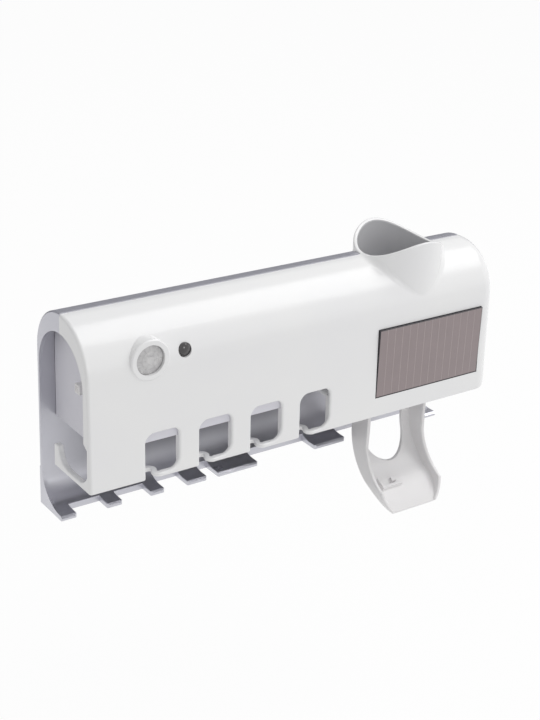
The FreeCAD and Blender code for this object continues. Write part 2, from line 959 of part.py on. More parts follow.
def uv_leds():
    pitch = (lamp_slot_end - lamp_slot_start) / led_count
    half = led_side / 2
    leds = []
    for index in range(led_count):
        x = lamp_slot_start + pitch * index + pitch / 2
        low = strip_low - led_height
        leds.append(box(x - half, x + half, lamp_y - half, lamp_y + half, low, strip_low))
    return Part.makeCompound(leds)


def battery_cell():
    end = cell_start + cell_length
    body = crosswise(cell_radius, cell_y, cell_z, cell_start, end)
    tip = crosswise(cell_tip_radius, cell_y, cell_z, end - touch, end + cell_tip_length)
    return body.fuse(tip).removeSplitter()


def battery_cradle():
    inner = cell_radius + fit_gap
    outer = inner + cradle_wall
    start = cell_start - fit_gap - cradle_wall
    end = cell_start + cell_length + cell_tip_length + fit_gap + cradle_wall
    trough = crosswise(outer, cell_y, cell_z, start, end)
    room = crosswise(inner, cell_y, cell_z, start + cradle_wall, end - cradle_wall)
    reach = outer + overrun
    top = box(start - overrun, end + overrun, cell_y - reach, cell_y + reach, cell_z, cell_z + reach)
    legs = []
    for leg_x in (start + cradle_leg_inset, end - cradle_leg_inset - cradle_leg_length):
        for leg_y in (cell_y - outer, cell_y + outer - cradle_leg):
            legs.append(box(leg_x, leg_x + cradle_leg_length, leg_y, leg_y + cradle_leg, tray_top, cell_z))
    return joined([trough.cut(top)] + legs).cut(room)


def switch_body():
    start = box_start + box_wall
    half = switch_body_width / 2
    stem = knob_stem / 2 + slot_end + switch_body_margin
    body = box(start, start + switch_body_depth, switch_y - half, switch_y + half,
               switch_z - stem, switch_z + switch_travel + stem)
    half = slot_width / 2
    stem -= switch_body_margin
    groove = box(start - overrun, start + switch_body_depth / 2, switch_y - half, switch_y + half,
                 switch_z - stem, switch_z + switch_travel + stem)
    return body.cut(groove)


def switch_knob():
    face = box_start - fit_gap
    cap = box(face - knob_reach, face, switch_y - knob_width / 2, switch_y + knob_width / 2,
              switch_z - knob_height / 2, switch_z + knob_height / 2)
    outside = [edge for edge in cap.Edges if edge.BoundBox.XMin < face - touch]
    cap = cap.makeFillet(knob_edge, outside)
    half = knob_stem / 2
    stem_end = box_start + box_wall + switch_body_depth / 2 - fit_gap
    stem = box(face - touch, stem_end, switch_y - half, switch_y + half, switch_z - half, switch_z + half)
    return cap.fuse(stem).removeSplitter()


def tube_seat():
    shelf = collar_low + collar_ledge
    outer = collar_inner - seat_gap
    rim = shelf + seat_rim
    neck = seat_neck_radius + seat_wall
    drop = collar_inner - collar_ledge_width - seat_gap
    lip = seat_neck_radius - seat_lip_width
    floor = seat_neck_low + seat_lip
    return spun(collar_x, collar_y, [
        (outer, rim), (outer - seat_wall, rim), (outer - seat_wall, shelf + seat_wall),
        (seat_neck_radius, collar_low), (seat_neck_radius, floor), (lip, floor), (lip, seat_neck_low),
        (neck, seat_neck_low), (neck, collar_low - seat_wall), (drop, shelf - seat_wall), (drop, shelf),
        (outer, shelf)])


def tube_seal():
    low = seat_neck_low + seat_lip
    high = low + seal_height
    ring = upright(seat_neck_radius - running_gap, collar_x, collar_y, low, high)
    return ring.cut(upright(seal_hole, collar_x, collar_y, low - overrun, high + overrun))


def lever_ears():
    # two round-ended uprights that carry the lever's pins, outside the pump's own width
    ears = []
    front = lever_pivot_y - ear_radius
    rear = lever_pivot_y + ear_radius
    for left in (collar_x - pump_half_width - ear_thickness, collar_x + pump_half_width - ear_thickness):
        right = left + 2 * ear_thickness
        ears.append(box(left, right, front, rear, lever_pivot_z, pump_top - pump_edge))
        ears.append(crosswise(ear_radius, lever_pivot_y, lever_pivot_z, left, right))
    return ears


def pump_passages():
    low = pump_low - overrun
    channel_z = pump_low + overrun + channel_radius
    neck = seat_neck_radius + seat_wall + fit_gap
    return [
        upright(neck, collar_x, collar_y, socket_low, pump_top + overrun),
        upright(inlet_radius, collar_x, collar_y, pump_low + overrun, pump_top),
        upright(bore_radius, collar_x, plunger_y, low, bore_top),
        upright(nozzle_radius + running_gap, collar_x, nozzle_y, low, pump_low + nozzle_seat),
        level(channel_radius, collar_x, channel_z, plunger_y, nozzle_y)]


def pump_housing():
    left = collar_x - pump_half_width
    right = collar_x + pump_half_width
    block = box(left, right, -pump_front, -pump_rear, pump_low, pump_top)
    block = block.makeFillet(pump_edge, edges_along(block, along_z))
    pins = crosswise(pin_radius + running_gap, lever_pivot_y, lever_pivot_z,
                     left - pump_half_width, right + pump_half_width)
    between = box(left + running_gap, right - running_gap, -pump_front, -pump_rear,
                  lever_pivot_z - ear_radius - overrun, pump_low)
    pilots = []
    for side in (-1, 1):
        x = collar_x + side * pump_screw_offset
        pilots.append(level(screw_radius + running_gap, x, pump_screw_z, -pump_rear + overrun,
                            -screw_head_sink - screw_length - fit_gap))
    return joined([block] + lever_ears()).cut([pins, between] + pump_passages() + pilots)


def inlet_valve():
    top = socket_low + valve_thickness
    tip = socket_low - valve_bill_length
    disc = upright(seat_neck_radius + seat_wall, collar_x, collar_y, socket_low, top)
    bill = upright(valve_bill_radius, collar_x, collar_y, tip, socket_low + touch)
    hole = upright(valve_bill_radius / 2, collar_x, collar_y, (tip + socket_low) / 2, top + overrun)
    return disc.fuse(bill).removeSplitter().cut(hole)


def outlet_nozzle():
    top = pump_low + nozzle_seat
    flange = nozzle_radius + nozzle_flange
    low = pump_low - nozzle_flange_thickness
    tip = pump_low - nozzle_length
    return spun(collar_x, nozzle_y, [
        (nozzle_bore, top), (nozzle_radius, top), (nozzle_radius, pump_low), (flange, pump_low),
        (flange, low), (nozzle_radius, low), (nozzle_tip_radius, tip), (nozzle_bore, tip)])


def pump_plunger():
    half = foot_length / 2
    foot = crosswise(foot_radius, plunger_y, plunger_foot_z, collar_x - half, collar_x + half)
    stem = upright(stem_radius, collar_x, plunger_y, plunger_foot_z, plunger_stop + touch)
    head = upright(head_radius, collar_x, plunger_y, plunger_stop, plunger_stop + head_thickness)
    return joined([foot, stem, head])


def plunger_cap():
    low = pump_low - cap_thickness
    ring = upright(bore_radius + cap_thickness, collar_x, plunger_y, low, pump_low)
    return ring.cut(upright(stem_radius + fit_gap, collar_x, plunger_y, low - overrun, pump_low + overrun))


def plunger_spring():
    low = plunger_stop + head_thickness + spring_wire / 2 + running_gap
    high = bore_top - spring_wire / 2 - running_gap
    rise = high - low
    helix = Part.makeHelix(rise / spring_turns, rise, spring_radius)
    turn = 4 * quarter / spring_sides
    corners = [on_xz(polar((spring_radius, 0), spring_wire / 2, turn * index))
               for index in range(spring_sides)]
    section = Part.makePolygon(corners + corners[:1])
    coil = Part.Wire(helix).makePipeShell([section], True, True)
    return coil.translated(vec(collar_x, plunger_y, low))


def pump_bellows():
    low = plunger_stop + head_thickness + running_gap
    high = bore_top - running_gap
    step = (high - low) / (2 * bellows_folds)
    outside = []
    inside = []
    for index in range(2 * bellows_folds + 1):
        radius = bellows_radius - bellows_fold * (index % 2)
        outside.append((radius, low + step * index))
        inside.append((radius - bellows_wall, low + step * index))
    return spun(collar_x, plunger_y, outside + inside[::-1])


def scoop_arcs():
    # the scoop's rear edge: one arc under the arms, then one that bends the other way down to the lip
    rear = lever_pivot_y + lever_hub_radius
    across = rear - scoop_hip_y
    drop = lever_straight_low - scoop_hip_z
    bend_radius = (across ** 2 + drop ** 2) / (2 * across)
    bend_center = (rear - bend_radius, lever_straight_low)
    angle = math.atan2(scoop_hip_z - bend_center[1], scoop_hip_y - bend_center[0])
    away = (math.cos(angle), math.sin(angle))
    reach = (scoop_lip_y - scoop_hip_y, scoop_lip_z - scoop_hip_z)
    lip_radius = (reach[0] ** 2 + reach[1] ** 2) / (2 * (reach[0] * away[0] + reach[1] * away[1]))
    lip_center = (scoop_hip_y + lip_radius * away[0], scoop_hip_z + lip_radius * away[1])
    lip_angle = math.atan2(scoop_lip_z - lip_center[1], scoop_lip_y - lip_center[0])
    return bend_center, bend_radius, math.degrees(angle), lip_center, lip_radius, math.degrees(lip_angle)


def scoop_rear_steps(inset):
    # steps from the top of the bend to the lip, moved into the scoop by the inset
    bend_center, bend_radius, angle, lip_center, lip_radius, lip_angle = scoop_arcs()
    bend = bend_radius - inset
    lip = lip_radius + inset
    start = angle + 2 * quarter
    end = lip_angle % (4 * quarter)
    return [
        [polar(bend_center, bend, angle / 2), polar(bend_center, bend, angle)],
        [polar(lip_center, lip, (start + end) / 2), polar(lip_center, lip, end)]]


def scoop_front_view(inset, top):
    half = lever_half_width - inset
    wide = half + lever_spread
    lip = scoop_lip_half_width - inset
    corner = scoop_lip_z + scoop_corner_top
    low = scoop_lip_z - scoop_lip_edge
    bulge = ((wide + lip) / 2, (corner + low) / 2)
    lean = (corner - low) / (wide - lip)
    bow = (wide - lip) / 4
    via = (bulge[0] + bow * lean / math.hypot(1, lean), bulge[1] - bow / math.hypot(1, lean))
    return drawn_face(on_xz, (collar_x - half, top), [
        [(collar_x - half, lever_straight_low)],
        [(collar_x - wide, corner)],
        [(collar_x - via[0], via[1]), (collar_x - lip, low)],
        [(collar_x + lip, low)],
        [(collar_x + via[0], via[1]), (collar_x + wide, corner)],
        [(collar_x + half, lever_straight_low)],
        [(collar_x + half, top)]])


def lever_scoop():
    front = lever_pivot_y - lever_hub_radius
    rear = lever_pivot_y + lever_hub_radius
    hub_top = lever_pivot_z + lever_hub_radius
    far = scoop_lip_y - lever_half_width
    rim_mid = ((front + scoop_rim_y) / 2 + scoop_rim_sag,
               (lever_rim_bend + scoop_rim_z) / 2 - scoop_rim_sag)
    down = scoop_rear_steps(0)
    side = drawn_face(on_yz, (rear, lever_straight_low), down + [
        [(scoop_lip_y - scoop_lip_edge, scoop_lip_z + scoop_lip_edge)],
        [(scoop_rim_y, scoop_rim_z)],
        [rim_mid, (front, lever_rim_bend)],
        [(front, lever_pivot_z)],
        [(lever_pivot_y, hub_top), (rear, lever_pivot_z)]])
    inside = drawn_face(on_yz, (rear - lever_wall, lever_straight_low), scoop_rear_steps(lever_wall) + [
        [(far, scoop_lip_z)],
        [(far, hub_top + overrun)],
        [(rear - lever_wall, hub_top + overrun)]])
    wide = lever_half_width + lever_spread + overrun
    solid = slab(side, along_x, collar_x - wide, collar_x + wide)
    outline = slab(scoop_front_view(0, hub_top + overrun), along_y, far, 0)
    room = slab(inside, along_x, collar_x - wide, collar_x + wide)
    room = room.common(slab(scoop_front_view(lever_wall, hub_top + 2 * overrun), along_y, far - overrun, 0))
    return solid.common(outline).cut(room)


def scoop_cut():
    # round-bottomed gap in the rear web, and the clear space between the arms above it
    half = scoop_cut_half_width
    center = (collar_x, scoop_cut_low + half)
    gap = drawn_face(on_xz, (collar_x - half, center[1]), [
        [(collar_x, scoop_cut_low), (collar_x + half, center[1])],
        [(collar_x + half, lever_web_top + overrun)],
        [(collar_x - half, lever_web_top + overrun)]])
    arm = lever_half_width - lever_wall
    clear = box(collar_x - arm, collar_x + arm, scoop_lip_y, 0,
                lever_web_top, lever_pivot_z + lever_hub_radius + overrun)
    return [slab(gap, along_y, scoop_rim_y, 0), clear]


def scoop_tab():
    # raised bracket and block on the inside of the scoop, square to its slope
    bend_center, bend_radius, angle, lip_center, lip_radius, lip_angle = scoop_arcs()
    left = -tab_shift - tab_width / 2
    right = -tab_shift + tab_width / 2
    low = -lever_wall / 2
    leg = box(left, left + tab_rib, -tab_length, 0, low, tab_rise)
    foot = box(left, right, -tab_length, -tab_length + tab_rib, low, tab_rise)
    block = box(right - 2 * tab_block, right - tab_block, -tab_rib - tab_block, -tab_rib, low, tab_rise)
    bracket = Part.makeCompound([leg.fuse(foot), block])
    bracket.rotate(vec(0, 0, 0), along_x, angle + quarter)
    seat = polar(bend_center, bend_radius - lever_wall, angle)
    return bracket.translated(vec(collar_x, seat[0], seat[1])).Solids


def push_lever():
    toe_end = lever_pivot_y + toe_reach + toe_width / 2
    toe_low = toe_top - toe_thickness
    arm = lever_half_width - lever_wall
    bars = [box(lever_left, lever_right, toe_end - toe_width, toe_end, toe_low, toe_top)]
    for left in (lever_left, collar_x + arm):
        bars.append(box(left, left + lever_wall, lever_pivot_y, toe_end, toe_low, toe_top))
    scoop = lever_scoop().cut(scoop_cut())
    scoop = scoop.makeFillet(lever_edge, scoop.Edges)
    pin_hole = crosswise(pin_radius + running_gap, lever_pivot_y, lever_pivot_z,
                         lever_left - overrun, lever_right + overrun)
    return joined([scoop] + scoop_tab() + bars).cut(pin_hole)


def lever_pins():
    pins = []
    for side in (-1, 1):
        start = vec(collar_x + side * pump_half_width, lever_pivot_y, lever_pivot_z)
        seat = vec(collar_x + side * (lever_half_width + fit_gap), lever_pivot_y, lever_pivot_z)
        head = rod(pin_head_radius, seat, seat + along_x * side * pin_head_thickness)
        pins.append(rod(pin_radius, start, seat + along_x * side * touch).fuse(head).removeSplitter())
    return Part.makeCompound(pins)


def rear_screw(x, z):
    seat = vec(x, -screw_head_sink, z)
    return screw(seat, -along_y, screw_radius, screw_length, screw_head_radius, screw_head_height)


def cover_screws():
    return Part.makeCompound([rear_screw(x, z) for x, z in cover_screw_places()])


def pump_screws():
    return Part.makeCompound([rear_screw(collar_x + side * pump_screw_offset, pump_screw_z)
                              for side in (-1, 1)])


def solar_panel():
    return panel_slab(0, 0, panel_thickness)


def panel_gasket():
    pad = panel_slab(gasket_margin - running_gap, 0, panel_thickness + gasket_thickness)
    return pad.cut(panel_slab(0, -overrun, panel_thickness))


pieces = [
    wall_base, front_cover, solar_panel, panel_gasket, pir_lens, pir_sensor, indicator_bezel, indicator_led,
    sensor_board, sensor_screws, electronics_box, lamp_tray, uv_window, uv_strip, uv_leds, battery_cradle,
    battery_cell, main_board, board_screws, switch_body, switch_knob, tube_seat, tube_seal, inlet_valve,
    pump_housing, outlet_nozzle, pump_plunger, plunger_cap, plunger_spring, pump_bellows, push_lever,
    lever_pins, cover_screws, pump_screws]

os.makedirs("parts", exist_ok=True)
for piece in pieces:
    shape = piece().translated(vec(-body_length / 2, 0, -origin_height))
    shape.exportStep("parts/" + piece.__name__ + ".step")
    print(piece.__name__, len(shape.Solids), shape.isValid(), round(shape.Volume, 1))
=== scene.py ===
import json
import math
import bmesh
import bpy
from mathutils import Matrix, Vector

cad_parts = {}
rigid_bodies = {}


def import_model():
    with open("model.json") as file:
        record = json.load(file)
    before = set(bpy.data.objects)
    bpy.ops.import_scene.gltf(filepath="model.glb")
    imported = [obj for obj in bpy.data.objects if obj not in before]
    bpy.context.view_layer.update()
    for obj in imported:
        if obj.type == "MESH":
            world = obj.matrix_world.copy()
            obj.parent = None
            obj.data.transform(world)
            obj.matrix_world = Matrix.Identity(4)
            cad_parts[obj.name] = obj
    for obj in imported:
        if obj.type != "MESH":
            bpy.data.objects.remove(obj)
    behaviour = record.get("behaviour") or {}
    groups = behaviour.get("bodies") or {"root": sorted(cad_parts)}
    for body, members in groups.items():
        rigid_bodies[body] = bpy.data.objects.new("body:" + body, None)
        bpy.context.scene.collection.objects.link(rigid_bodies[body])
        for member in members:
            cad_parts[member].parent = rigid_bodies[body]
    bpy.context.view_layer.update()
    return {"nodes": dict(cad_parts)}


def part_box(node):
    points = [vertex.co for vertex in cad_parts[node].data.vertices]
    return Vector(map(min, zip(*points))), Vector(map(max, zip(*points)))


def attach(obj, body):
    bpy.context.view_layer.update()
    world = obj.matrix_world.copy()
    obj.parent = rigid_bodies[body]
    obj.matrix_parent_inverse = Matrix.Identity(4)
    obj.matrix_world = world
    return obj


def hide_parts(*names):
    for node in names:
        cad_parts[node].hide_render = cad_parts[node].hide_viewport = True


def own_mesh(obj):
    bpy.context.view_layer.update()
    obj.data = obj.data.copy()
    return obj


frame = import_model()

nodes = frame["nodes"]
mm = 0.001  # sizes below are in millimetres
tiny = 0.00001  # metres, for telling places apart
facing = 0.99  # a face looks along an axis when its normal has at least this much of it
absIor = 1.53


def hexColor(text):  # sRGB to linear
    channels = [int(text[place:place + 2], 16) / 255 for place in (1, 3, 5)]
    return tuple(c / 12.92 if c < 0.04045 else ((c + 0.055) / 1.055) ** 2.4 for c in channels) + (1,)


def perMetre(size):
    return 1 / (size * mm)  # texture scale that gives features of this many millimetres


def addNode(tree, kind, settings=None, links=None):
    node = tree.nodes.new(kind)
    for name, value in (settings or {}).items():
        if isinstance(name, str) and hasattr(node, name):
            setattr(node, name, value)
        else:
            node.inputs[name].default_value = value
    for name, source in (links or {}).items():
        tree.links.new(source, node.inputs[name])
    return node


def startMaterial(name, constants):
    material = bpy.data.materials.new(name)
    material.use_nodes = True
    tree = material.node_tree
    shader = tree.nodes["Principled BSDF"]
    for socket, value in constants.items():
        shader.inputs[socket].default_value = value
    place = addNode(tree, "ShaderNodeTexCoord").outputs["Object"]
    return material, tree, shader, place


def connect(tree, shader, sources):
    for socket, source in sources.items():
        tree.links.new(source, shader.inputs[socket])


# cover: ABS from a polished mould, an even bright white whose glints waver a little where the wall cooled,
# and a painted shade in the collar's bore, a greyer white that stands in for the shadow down the bore
coverLook = {
    "white": "#f4f4f3", "shade": "#eeeef0", "tint": 45,
    "core": "#c8c8ca", "bore": (82, -29.5, 0), "boreRadius": 24.3,
    "smear": 9, "gloss": (0.13, 0.29), "wave": 17, "waveDepth": 0.02, "peel": 1.1, "peelDepth": 0.0012}


def glossyWhiteAbs():
    look = coverLook
    material, tree, shader, place = startMaterial("glossyWhiteAbs", {"IOR": absIor})
    cloud = addNode(tree, "ShaderNodeTexNoise", {"Scale": perMetre(look["tint"]), "Detail": 2}, {"Vector": place})
    tone = addNode(tree, "ShaderNodeMix", {
        "data_type": "RGBA", 6: hexColor(look["white"]), 7: hexColor(look["shade"])}, {0: cloud.outputs[0]})
    level = addNode(tree, "ShaderNodeVectorMath", {"operation": "MULTIPLY", 1: (1, 1, 0)}, {0: place})
    reach = addNode(tree, "ShaderNodeVectorMath", {"operation": "DISTANCE", 1: Vector(look["bore"]) * mm},
                    {0: level.outputs[0]})
    # painted shade: inside the collar's bore radius the white gives way to a grey that stands in for the bore's
    # shadow
    bore = addNode(tree, "ShaderNodeMath", {"operation": "LESS_THAN", 1: look["boreRadius"] * mm},
                   {0: reach.outputs["Value"]})
    shade = addNode(tree, "ShaderNodeMix", {"data_type": "RGBA", 7: hexColor(look["core"])},
                    {0: bore.outputs[0], 6: tone.outputs[2]})
    smear = addNode(tree, "ShaderNodeTexNoise", {"Scale": perMetre(look["smear"]), "Detail": 4}, {"Vector": place})
    gloss = addNode(tree, "ShaderNodeMapRange", {"To Min": look["gloss"][0], "To Max": look["gloss"][1]},
                    {"Value": smear.outputs[0]})
    wave = addNode(tree, "ShaderNodeTexNoise", {"Scale": perMetre(look["wave"]), "Detail": 0}, {"Vector": place})
    sink = addNode(tree, "ShaderNodeBump", {"Strength": 1, "Distance": look["waveDepth"] * mm},
                   {"Height": wave.outputs[0]})
    peel = addNode(tree, "ShaderNodeTexNoise", {"Scale": perMetre(look["peel"]), "Detail": 1}, {"Vector": place})
    skin = addNode(tree, "ShaderNodeBump", {"Strength": 1, "Distance": look["peelDepth"] * mm},
                   {"Height": peel.outputs[0], "Normal": sink.outputs[0]})
    connect(tree, shader, {
        "Base Color": shade.outputs[2], "Roughness": gloss.outputs[0], "Normal": skin.outputs[0]})
    return material


# lever, knob and plunger: the same ABS from a plainer tool, softer glints and a fine even grain
leverLook = {"white": "#f1f0f0", "shade": "#e9e7e8", "tint": 25, "gloss": (0.25, 0.45),
             "grain": 0.9, "grainDepth": 0.004}


def satinWhiteAbs():
    look = leverLook
    material, tree, shader, place = startMaterial("satinWhiteAbs", {"IOR": absIor})
    cloud = addNode(tree, "ShaderNodeTexNoise", {"Scale": perMetre(look["tint"]), "Detail": 3}, {"Vector": place})
    tone = addNode(tree, "ShaderNodeMix", {
        "data_type": "RGBA", 6: hexColor(look["white"]), 7: hexColor(look["shade"])}, {0: cloud.outputs[0]})
    gloss = addNode(tree, "ShaderNodeMapRange", {"To Min": look["gloss"][0], "To Max": look["gloss"][1]},
                    {"Value": cloud.outputs[0]})
    grain = addNode(tree, "ShaderNodeTexNoise", {"Scale": perMetre(look["grain"]), "Detail": 2}, {"Vector": place})
    skin = addNode(tree, "ShaderNodeBump", {"Strength": 1, "Distance": look["grainDepth"] * mm},
                   {"Height": grain.outputs[0]})
    connect(tree, shader, {
        "Base Color": tone.outputs[2], "Roughness": gloss.outputs[0], "Normal": skin.outputs[0]})
    return material


# wall base: ABS with satin nickel and chrome plating, soft cool reflections, with painted shade inside
# the housing, a grey and rougher plating that stands in for the shadow under the cover. Each ramp has its axis,
# start, end, and share before and after
baseLook = {
    "metallic": 0.84, "bright": "#cfcfd5", "dull": "#c1c1c9", "cloud": 30, "gloss": (0.22, 0.38),
    "grit": 0.35, "gritDepth": 0.003, "housingShade": "#838388", "housingShadeRough": 0.3,
    "archY": -27.5, "archZ": 36, "archRadius": 26.4,
    "ramps": [(2, -60, -34, 0, 1), (0, -150, -82, 0, 1), (0, 5, 55, 1, 0.2)]}


def satinPlatedAbs():
    look = baseLook
    material, tree, shader, place = startMaterial("satinPlatedAbs", {"Metallic": look["metallic"]})
    cloud = addNode(tree, "ShaderNodeTexNoise", {"Scale": perMetre(look["cloud"]), "Detail": 3}, {"Vector": place})
    tone = addNode(tree, "ShaderNodeMix", {
        "data_type": "RGBA", 6: hexColor(look["bright"]), 7: hexColor(look["dull"])}, {0: cloud.outputs[0]})
    spot = addNode(tree, "ShaderNodeSeparateXYZ", None, {0: place})
    across = addNode(tree, "ShaderNodeMath", {"operation": "SUBTRACT", 1: look["archY"] * mm},
                     {0: spot.outputs[1]})
    above = addNode(tree, "ShaderNodeMath", {"operation": "SUBTRACT", 1: look["archZ"] * mm},
                    {0: spot.outputs[2]})
    over = addNode(tree, "ShaderNodeMath", {"operation": "MAXIMUM", 1: 0}, {0: above.outputs[0]})
    arm = addNode(tree, "ShaderNodeCombineXYZ", None, {1: across.outputs[0], 2: over.outputs[0]})
    reach = addNode(tree, "ShaderNodeVectorMath", {"operation": "LENGTH"}, {0: arm.outputs[0]})
    inside = addNode(tree, "ShaderNodeMath", {"operation": "LESS_THAN", 1: look["archRadius"] * mm},
                     {0: reach.outputs["Value"]})
    housingShade = inside
    for axis, start, end, before, after in look["ramps"]:
        ramp = addNode(tree, "ShaderNodeMapRange", {
            "interpolation_type": "SMOOTHSTEP", "From Min": start * mm, "From Max": end * mm,
            "To Min": before, "To Max": after}, {"Value": spot.outputs[axis]})
        housingShade = addNode(tree, "ShaderNodeMath", {"operation": "MULTIPLY"}, {0: housingShade.outputs[0], 1: ramp.outputs[0]})
    # painted shade: inside the arch, faded in and out by the ramps, the plating turns grey for the shadow under
    # the cover
    shade = addNode(tree, "ShaderNodeMix", {"data_type": "RGBA", 7: hexColor(look["housingShade"])},
                    {0: housingShade.outputs[0], 6: tone.outputs[2]})
    gloss = addNode(tree, "ShaderNodeMapRange", {"To Min": look["gloss"][0], "To Max": look["gloss"][1]},
                    {"Value": cloud.outputs[0]})
    rough = addNode(tree, "ShaderNodeMath", {"operation": "MULTIPLY_ADD", 1: look["housingShadeRough"]},
                    {0: housingShade.outputs[0], 2: gloss.outputs[0]})
    grit = addNode(tree, "ShaderNodeTexNoise", {"Scale": perMetre(look["grit"]), "Detail": 2}, {"Vector": place})
    skin = addNode(tree, "ShaderNodeBump", {"Strength": 0.6, "Distance": look["gritDepth"] * mm},
                   {"Height": grit.outputs[0]})
    connect(tree, shader, {
        "Base Color": shade.outputs[2], "Roughness": rough.outputs[0], "Normal": skin.outputs[0]})
    return material


# inner box and pump: ABS from a spark-eroded tool, pale lilac grey with a fine matt pebble
boxLook = {"pale": "#e4e3e9", "deep": "#dad9e2", "tint": 20, "pebble": 0.8, "pebbleDepth": 0.02,
           "pebbleTop": 0.8, "gloss": (0.42, 0.58)}


def matGreyAbs():
    look = boxLook
    material, tree, shader, place = startMaterial("matGreyAbs", {"IOR": absIor})
    cloud = addNode(tree, "ShaderNodeTexNoise", {"Scale": perMetre(look["tint"]), "Detail": 3}, {"Vector": place})
    tone = addNode(tree, "ShaderNodeMix", {
        "data_type": "RGBA", 6: hexColor(look["pale"]), 7: hexColor(look["deep"])}, {0: cloud.outputs[0]})
    pebble = addNode(tree, "ShaderNodeTexVoronoi", {"feature": "SMOOTH_F1", "Scale": perMetre(look["pebble"])},
                     {"Vector": place})
    gloss = addNode(tree, "ShaderNodeMapRange", {
        "From Max": look["pebbleTop"], "To Min": look["gloss"][0], "To Max": look["gloss"][1]},
                    {"Value": pebble.outputs[0]})
    skin = addNode(tree, "ShaderNodeBump", {"Strength": 0.5, "Distance": look["pebbleDepth"] * mm},
                   {"Height": pebble.outputs[0]})
    connect(tree, shader, {
        "Base Color": tone.outputs[2], "Roughness": gloss.outputs[0], "Normal": skin.outputs[0]})
    return material


# gasket, switch and cradle: black-brown ABS, glossy on its ridges and dusty in its grain
darkLook = {"black": "#232126", "worn": "#353238", "grain": 0.6, "grainDepth": 0.015, "gloss": (0.2, 0.42)}


def darkAbs():
    look = darkLook
    material, tree, shader, place = startMaterial("darkAbs", {"IOR": absIor})
    grain = addNode(tree, "ShaderNodeTexNoise", {"Scale": perMetre(look["grain"]), "Detail": 3}, {"Vector": place})
    tone = addNode(tree, "ShaderNodeMix", {
        "data_type": "RGBA", 6: hexColor(look["black"]), 7: hexColor(look["worn"])}, {0: grain.outputs[0]})
    gloss = addNode(tree, "ShaderNodeMapRange", {"To Min": look["gloss"][0], "To Max": look["gloss"][1]},
                    {"Value": grain.outputs[0]})
    skin = addNode(tree, "ShaderNodeBump", {"Strength": 0.4, "Distance": look["grainDepth"] * mm},
                   {"Height": grain.outputs[0]})
    connect(tree, shader, {
        "Base Color": tone.outputs[2], "Roughness": gloss.outputs[0], "Normal": skin.outputs[0]})
    return material


# sensor lens: moulded polyethylene, milky, with soft clouds and a dull waxy shine
lensLook = {"milk": "#d6d5d5", "cloud": "#c0bfc0", "haze": 5.5, "hazeTwist": 0.8, "spread": (0.35, 0.65),
            "gloss": (0.28, 0.42)}


def milkyPolyethylene():
    look = lensLook
    material, tree, shader, place = startMaterial("milkyPolyethylene", {"IOR": 1.51})
    haze = addNode(tree, "ShaderNodeTexNoise", {
        "Scale": perMetre(look["haze"]), "Detail": 3, "Distortion": look["hazeTwist"]}, {"Vector": place})
    spread = addNode(tree, "ShaderNodeMapRange", {"From Min": look["spread"][0], "From Max": look["spread"][1]},
                     {"Value": haze.outputs[0]})
    tone = addNode(tree, "ShaderNodeMix", {
        "data_type": "RGBA", 6: hexColor(look["milk"]), 7: hexColor(look["cloud"])}, {0: spread.outputs[0]})
    gloss = addNode(tree, "ShaderNodeMapRange", {"To Min": look["gloss"][0], "To Max": look["gloss"][1]},
                    {"Value": haze.outputs[0]})
    connect(tree, shader, {"Base Color": tone.outputs[2], "Roughness": gloss.outputs[0]})
    return material


# indicator and its bezel: cast epoxy with a smoke tint, wet looking and nearly black
ledLook = {"edge": "#221f22", "heart": "#3a3437", "swirl": 1.5}


def smokedEpoxy():
    look = ledLook
    material, tree, shader, place = startMaterial("smokedEpoxy", {
        "IOR": 1.56, "Roughness": 0.05, "Coat Weight": 0.5, "Coat Roughness": 0.03})
    swirl = addNode(tree, "ShaderNodeTexNoise", {"Scale": perMetre(look["swirl"]), "Detail": 2}, {"Vector": place})
    tone = addNode(tree, "ShaderNodeMix", {
        "data_type": "RGBA", 6: hexColor(look["edge"]), 7: hexColor(look["heart"])}, {0: swirl.outputs[0]})
    connect(tree, shader, {"Base Color": tone.outputs[2]})
    return material


# boards: glass epoxy under green solder mask, copper tracks stand out as paler lines. At a scale of 1 the rows are
# rowHeight apart
boardLook = {"mask": "#1d5b38", "maskShade": "#1a5534", "track": "#2f7a4c", "pitch": 3.2, "rowHeight": 0.25,
             "trackWidth": 0.03, "trackDepth": 0.03, "weave": 0.7, "gloss": (0.25, 0.4)}


def maskedGlassEpoxy():
    look = boardLook
    material, tree, shader, place = startMaterial("maskedGlassEpoxy", {"IOR": 1.5})
    tracks = addNode(tree, "ShaderNodeTexBrick", {
        "Color1": hexColor(look["mask"]), "Color2": hexColor(look["maskShade"]), "Mortar": hexColor(look["track"]),
        "Scale": perMetre(look["pitch"]) * look["rowHeight"], "Row Height": look["rowHeight"],
        "Mortar Size": look["trackWidth"]}, {"Vector": place})
    weave = addNode(tree, "ShaderNodeTexNoise", {"Scale": perMetre(look["weave"]), "Detail": 2}, {"Vector": place})
    gloss = addNode(tree, "ShaderNodeMapRange", {"To Min": look["gloss"][0], "To Max": look["gloss"][1]},
                    {"Value": weave.outputs[0]})
    skin = addNode(tree, "ShaderNodeBump", {"Strength": 0.5, "Distance": look["trackDepth"] * mm},
                   {"Height": tracks.outputs[1]})
    connect(tree, shader, {
        "Base Color": tracks.outputs[0], "Roughness": gloss.outputs[0], "Normal": skin.outputs[0]})
    return material


# lamp window: drawn fused quartz, clear and hard with faint drawing streaks. At a scale of 1 a wave is
# bandTurn wide
quartzLook = {"clear": "#f2f4fa", "streak": 11.31, "bandTurn": math.tau / 20, "gloss": (0.02, 0.06)}


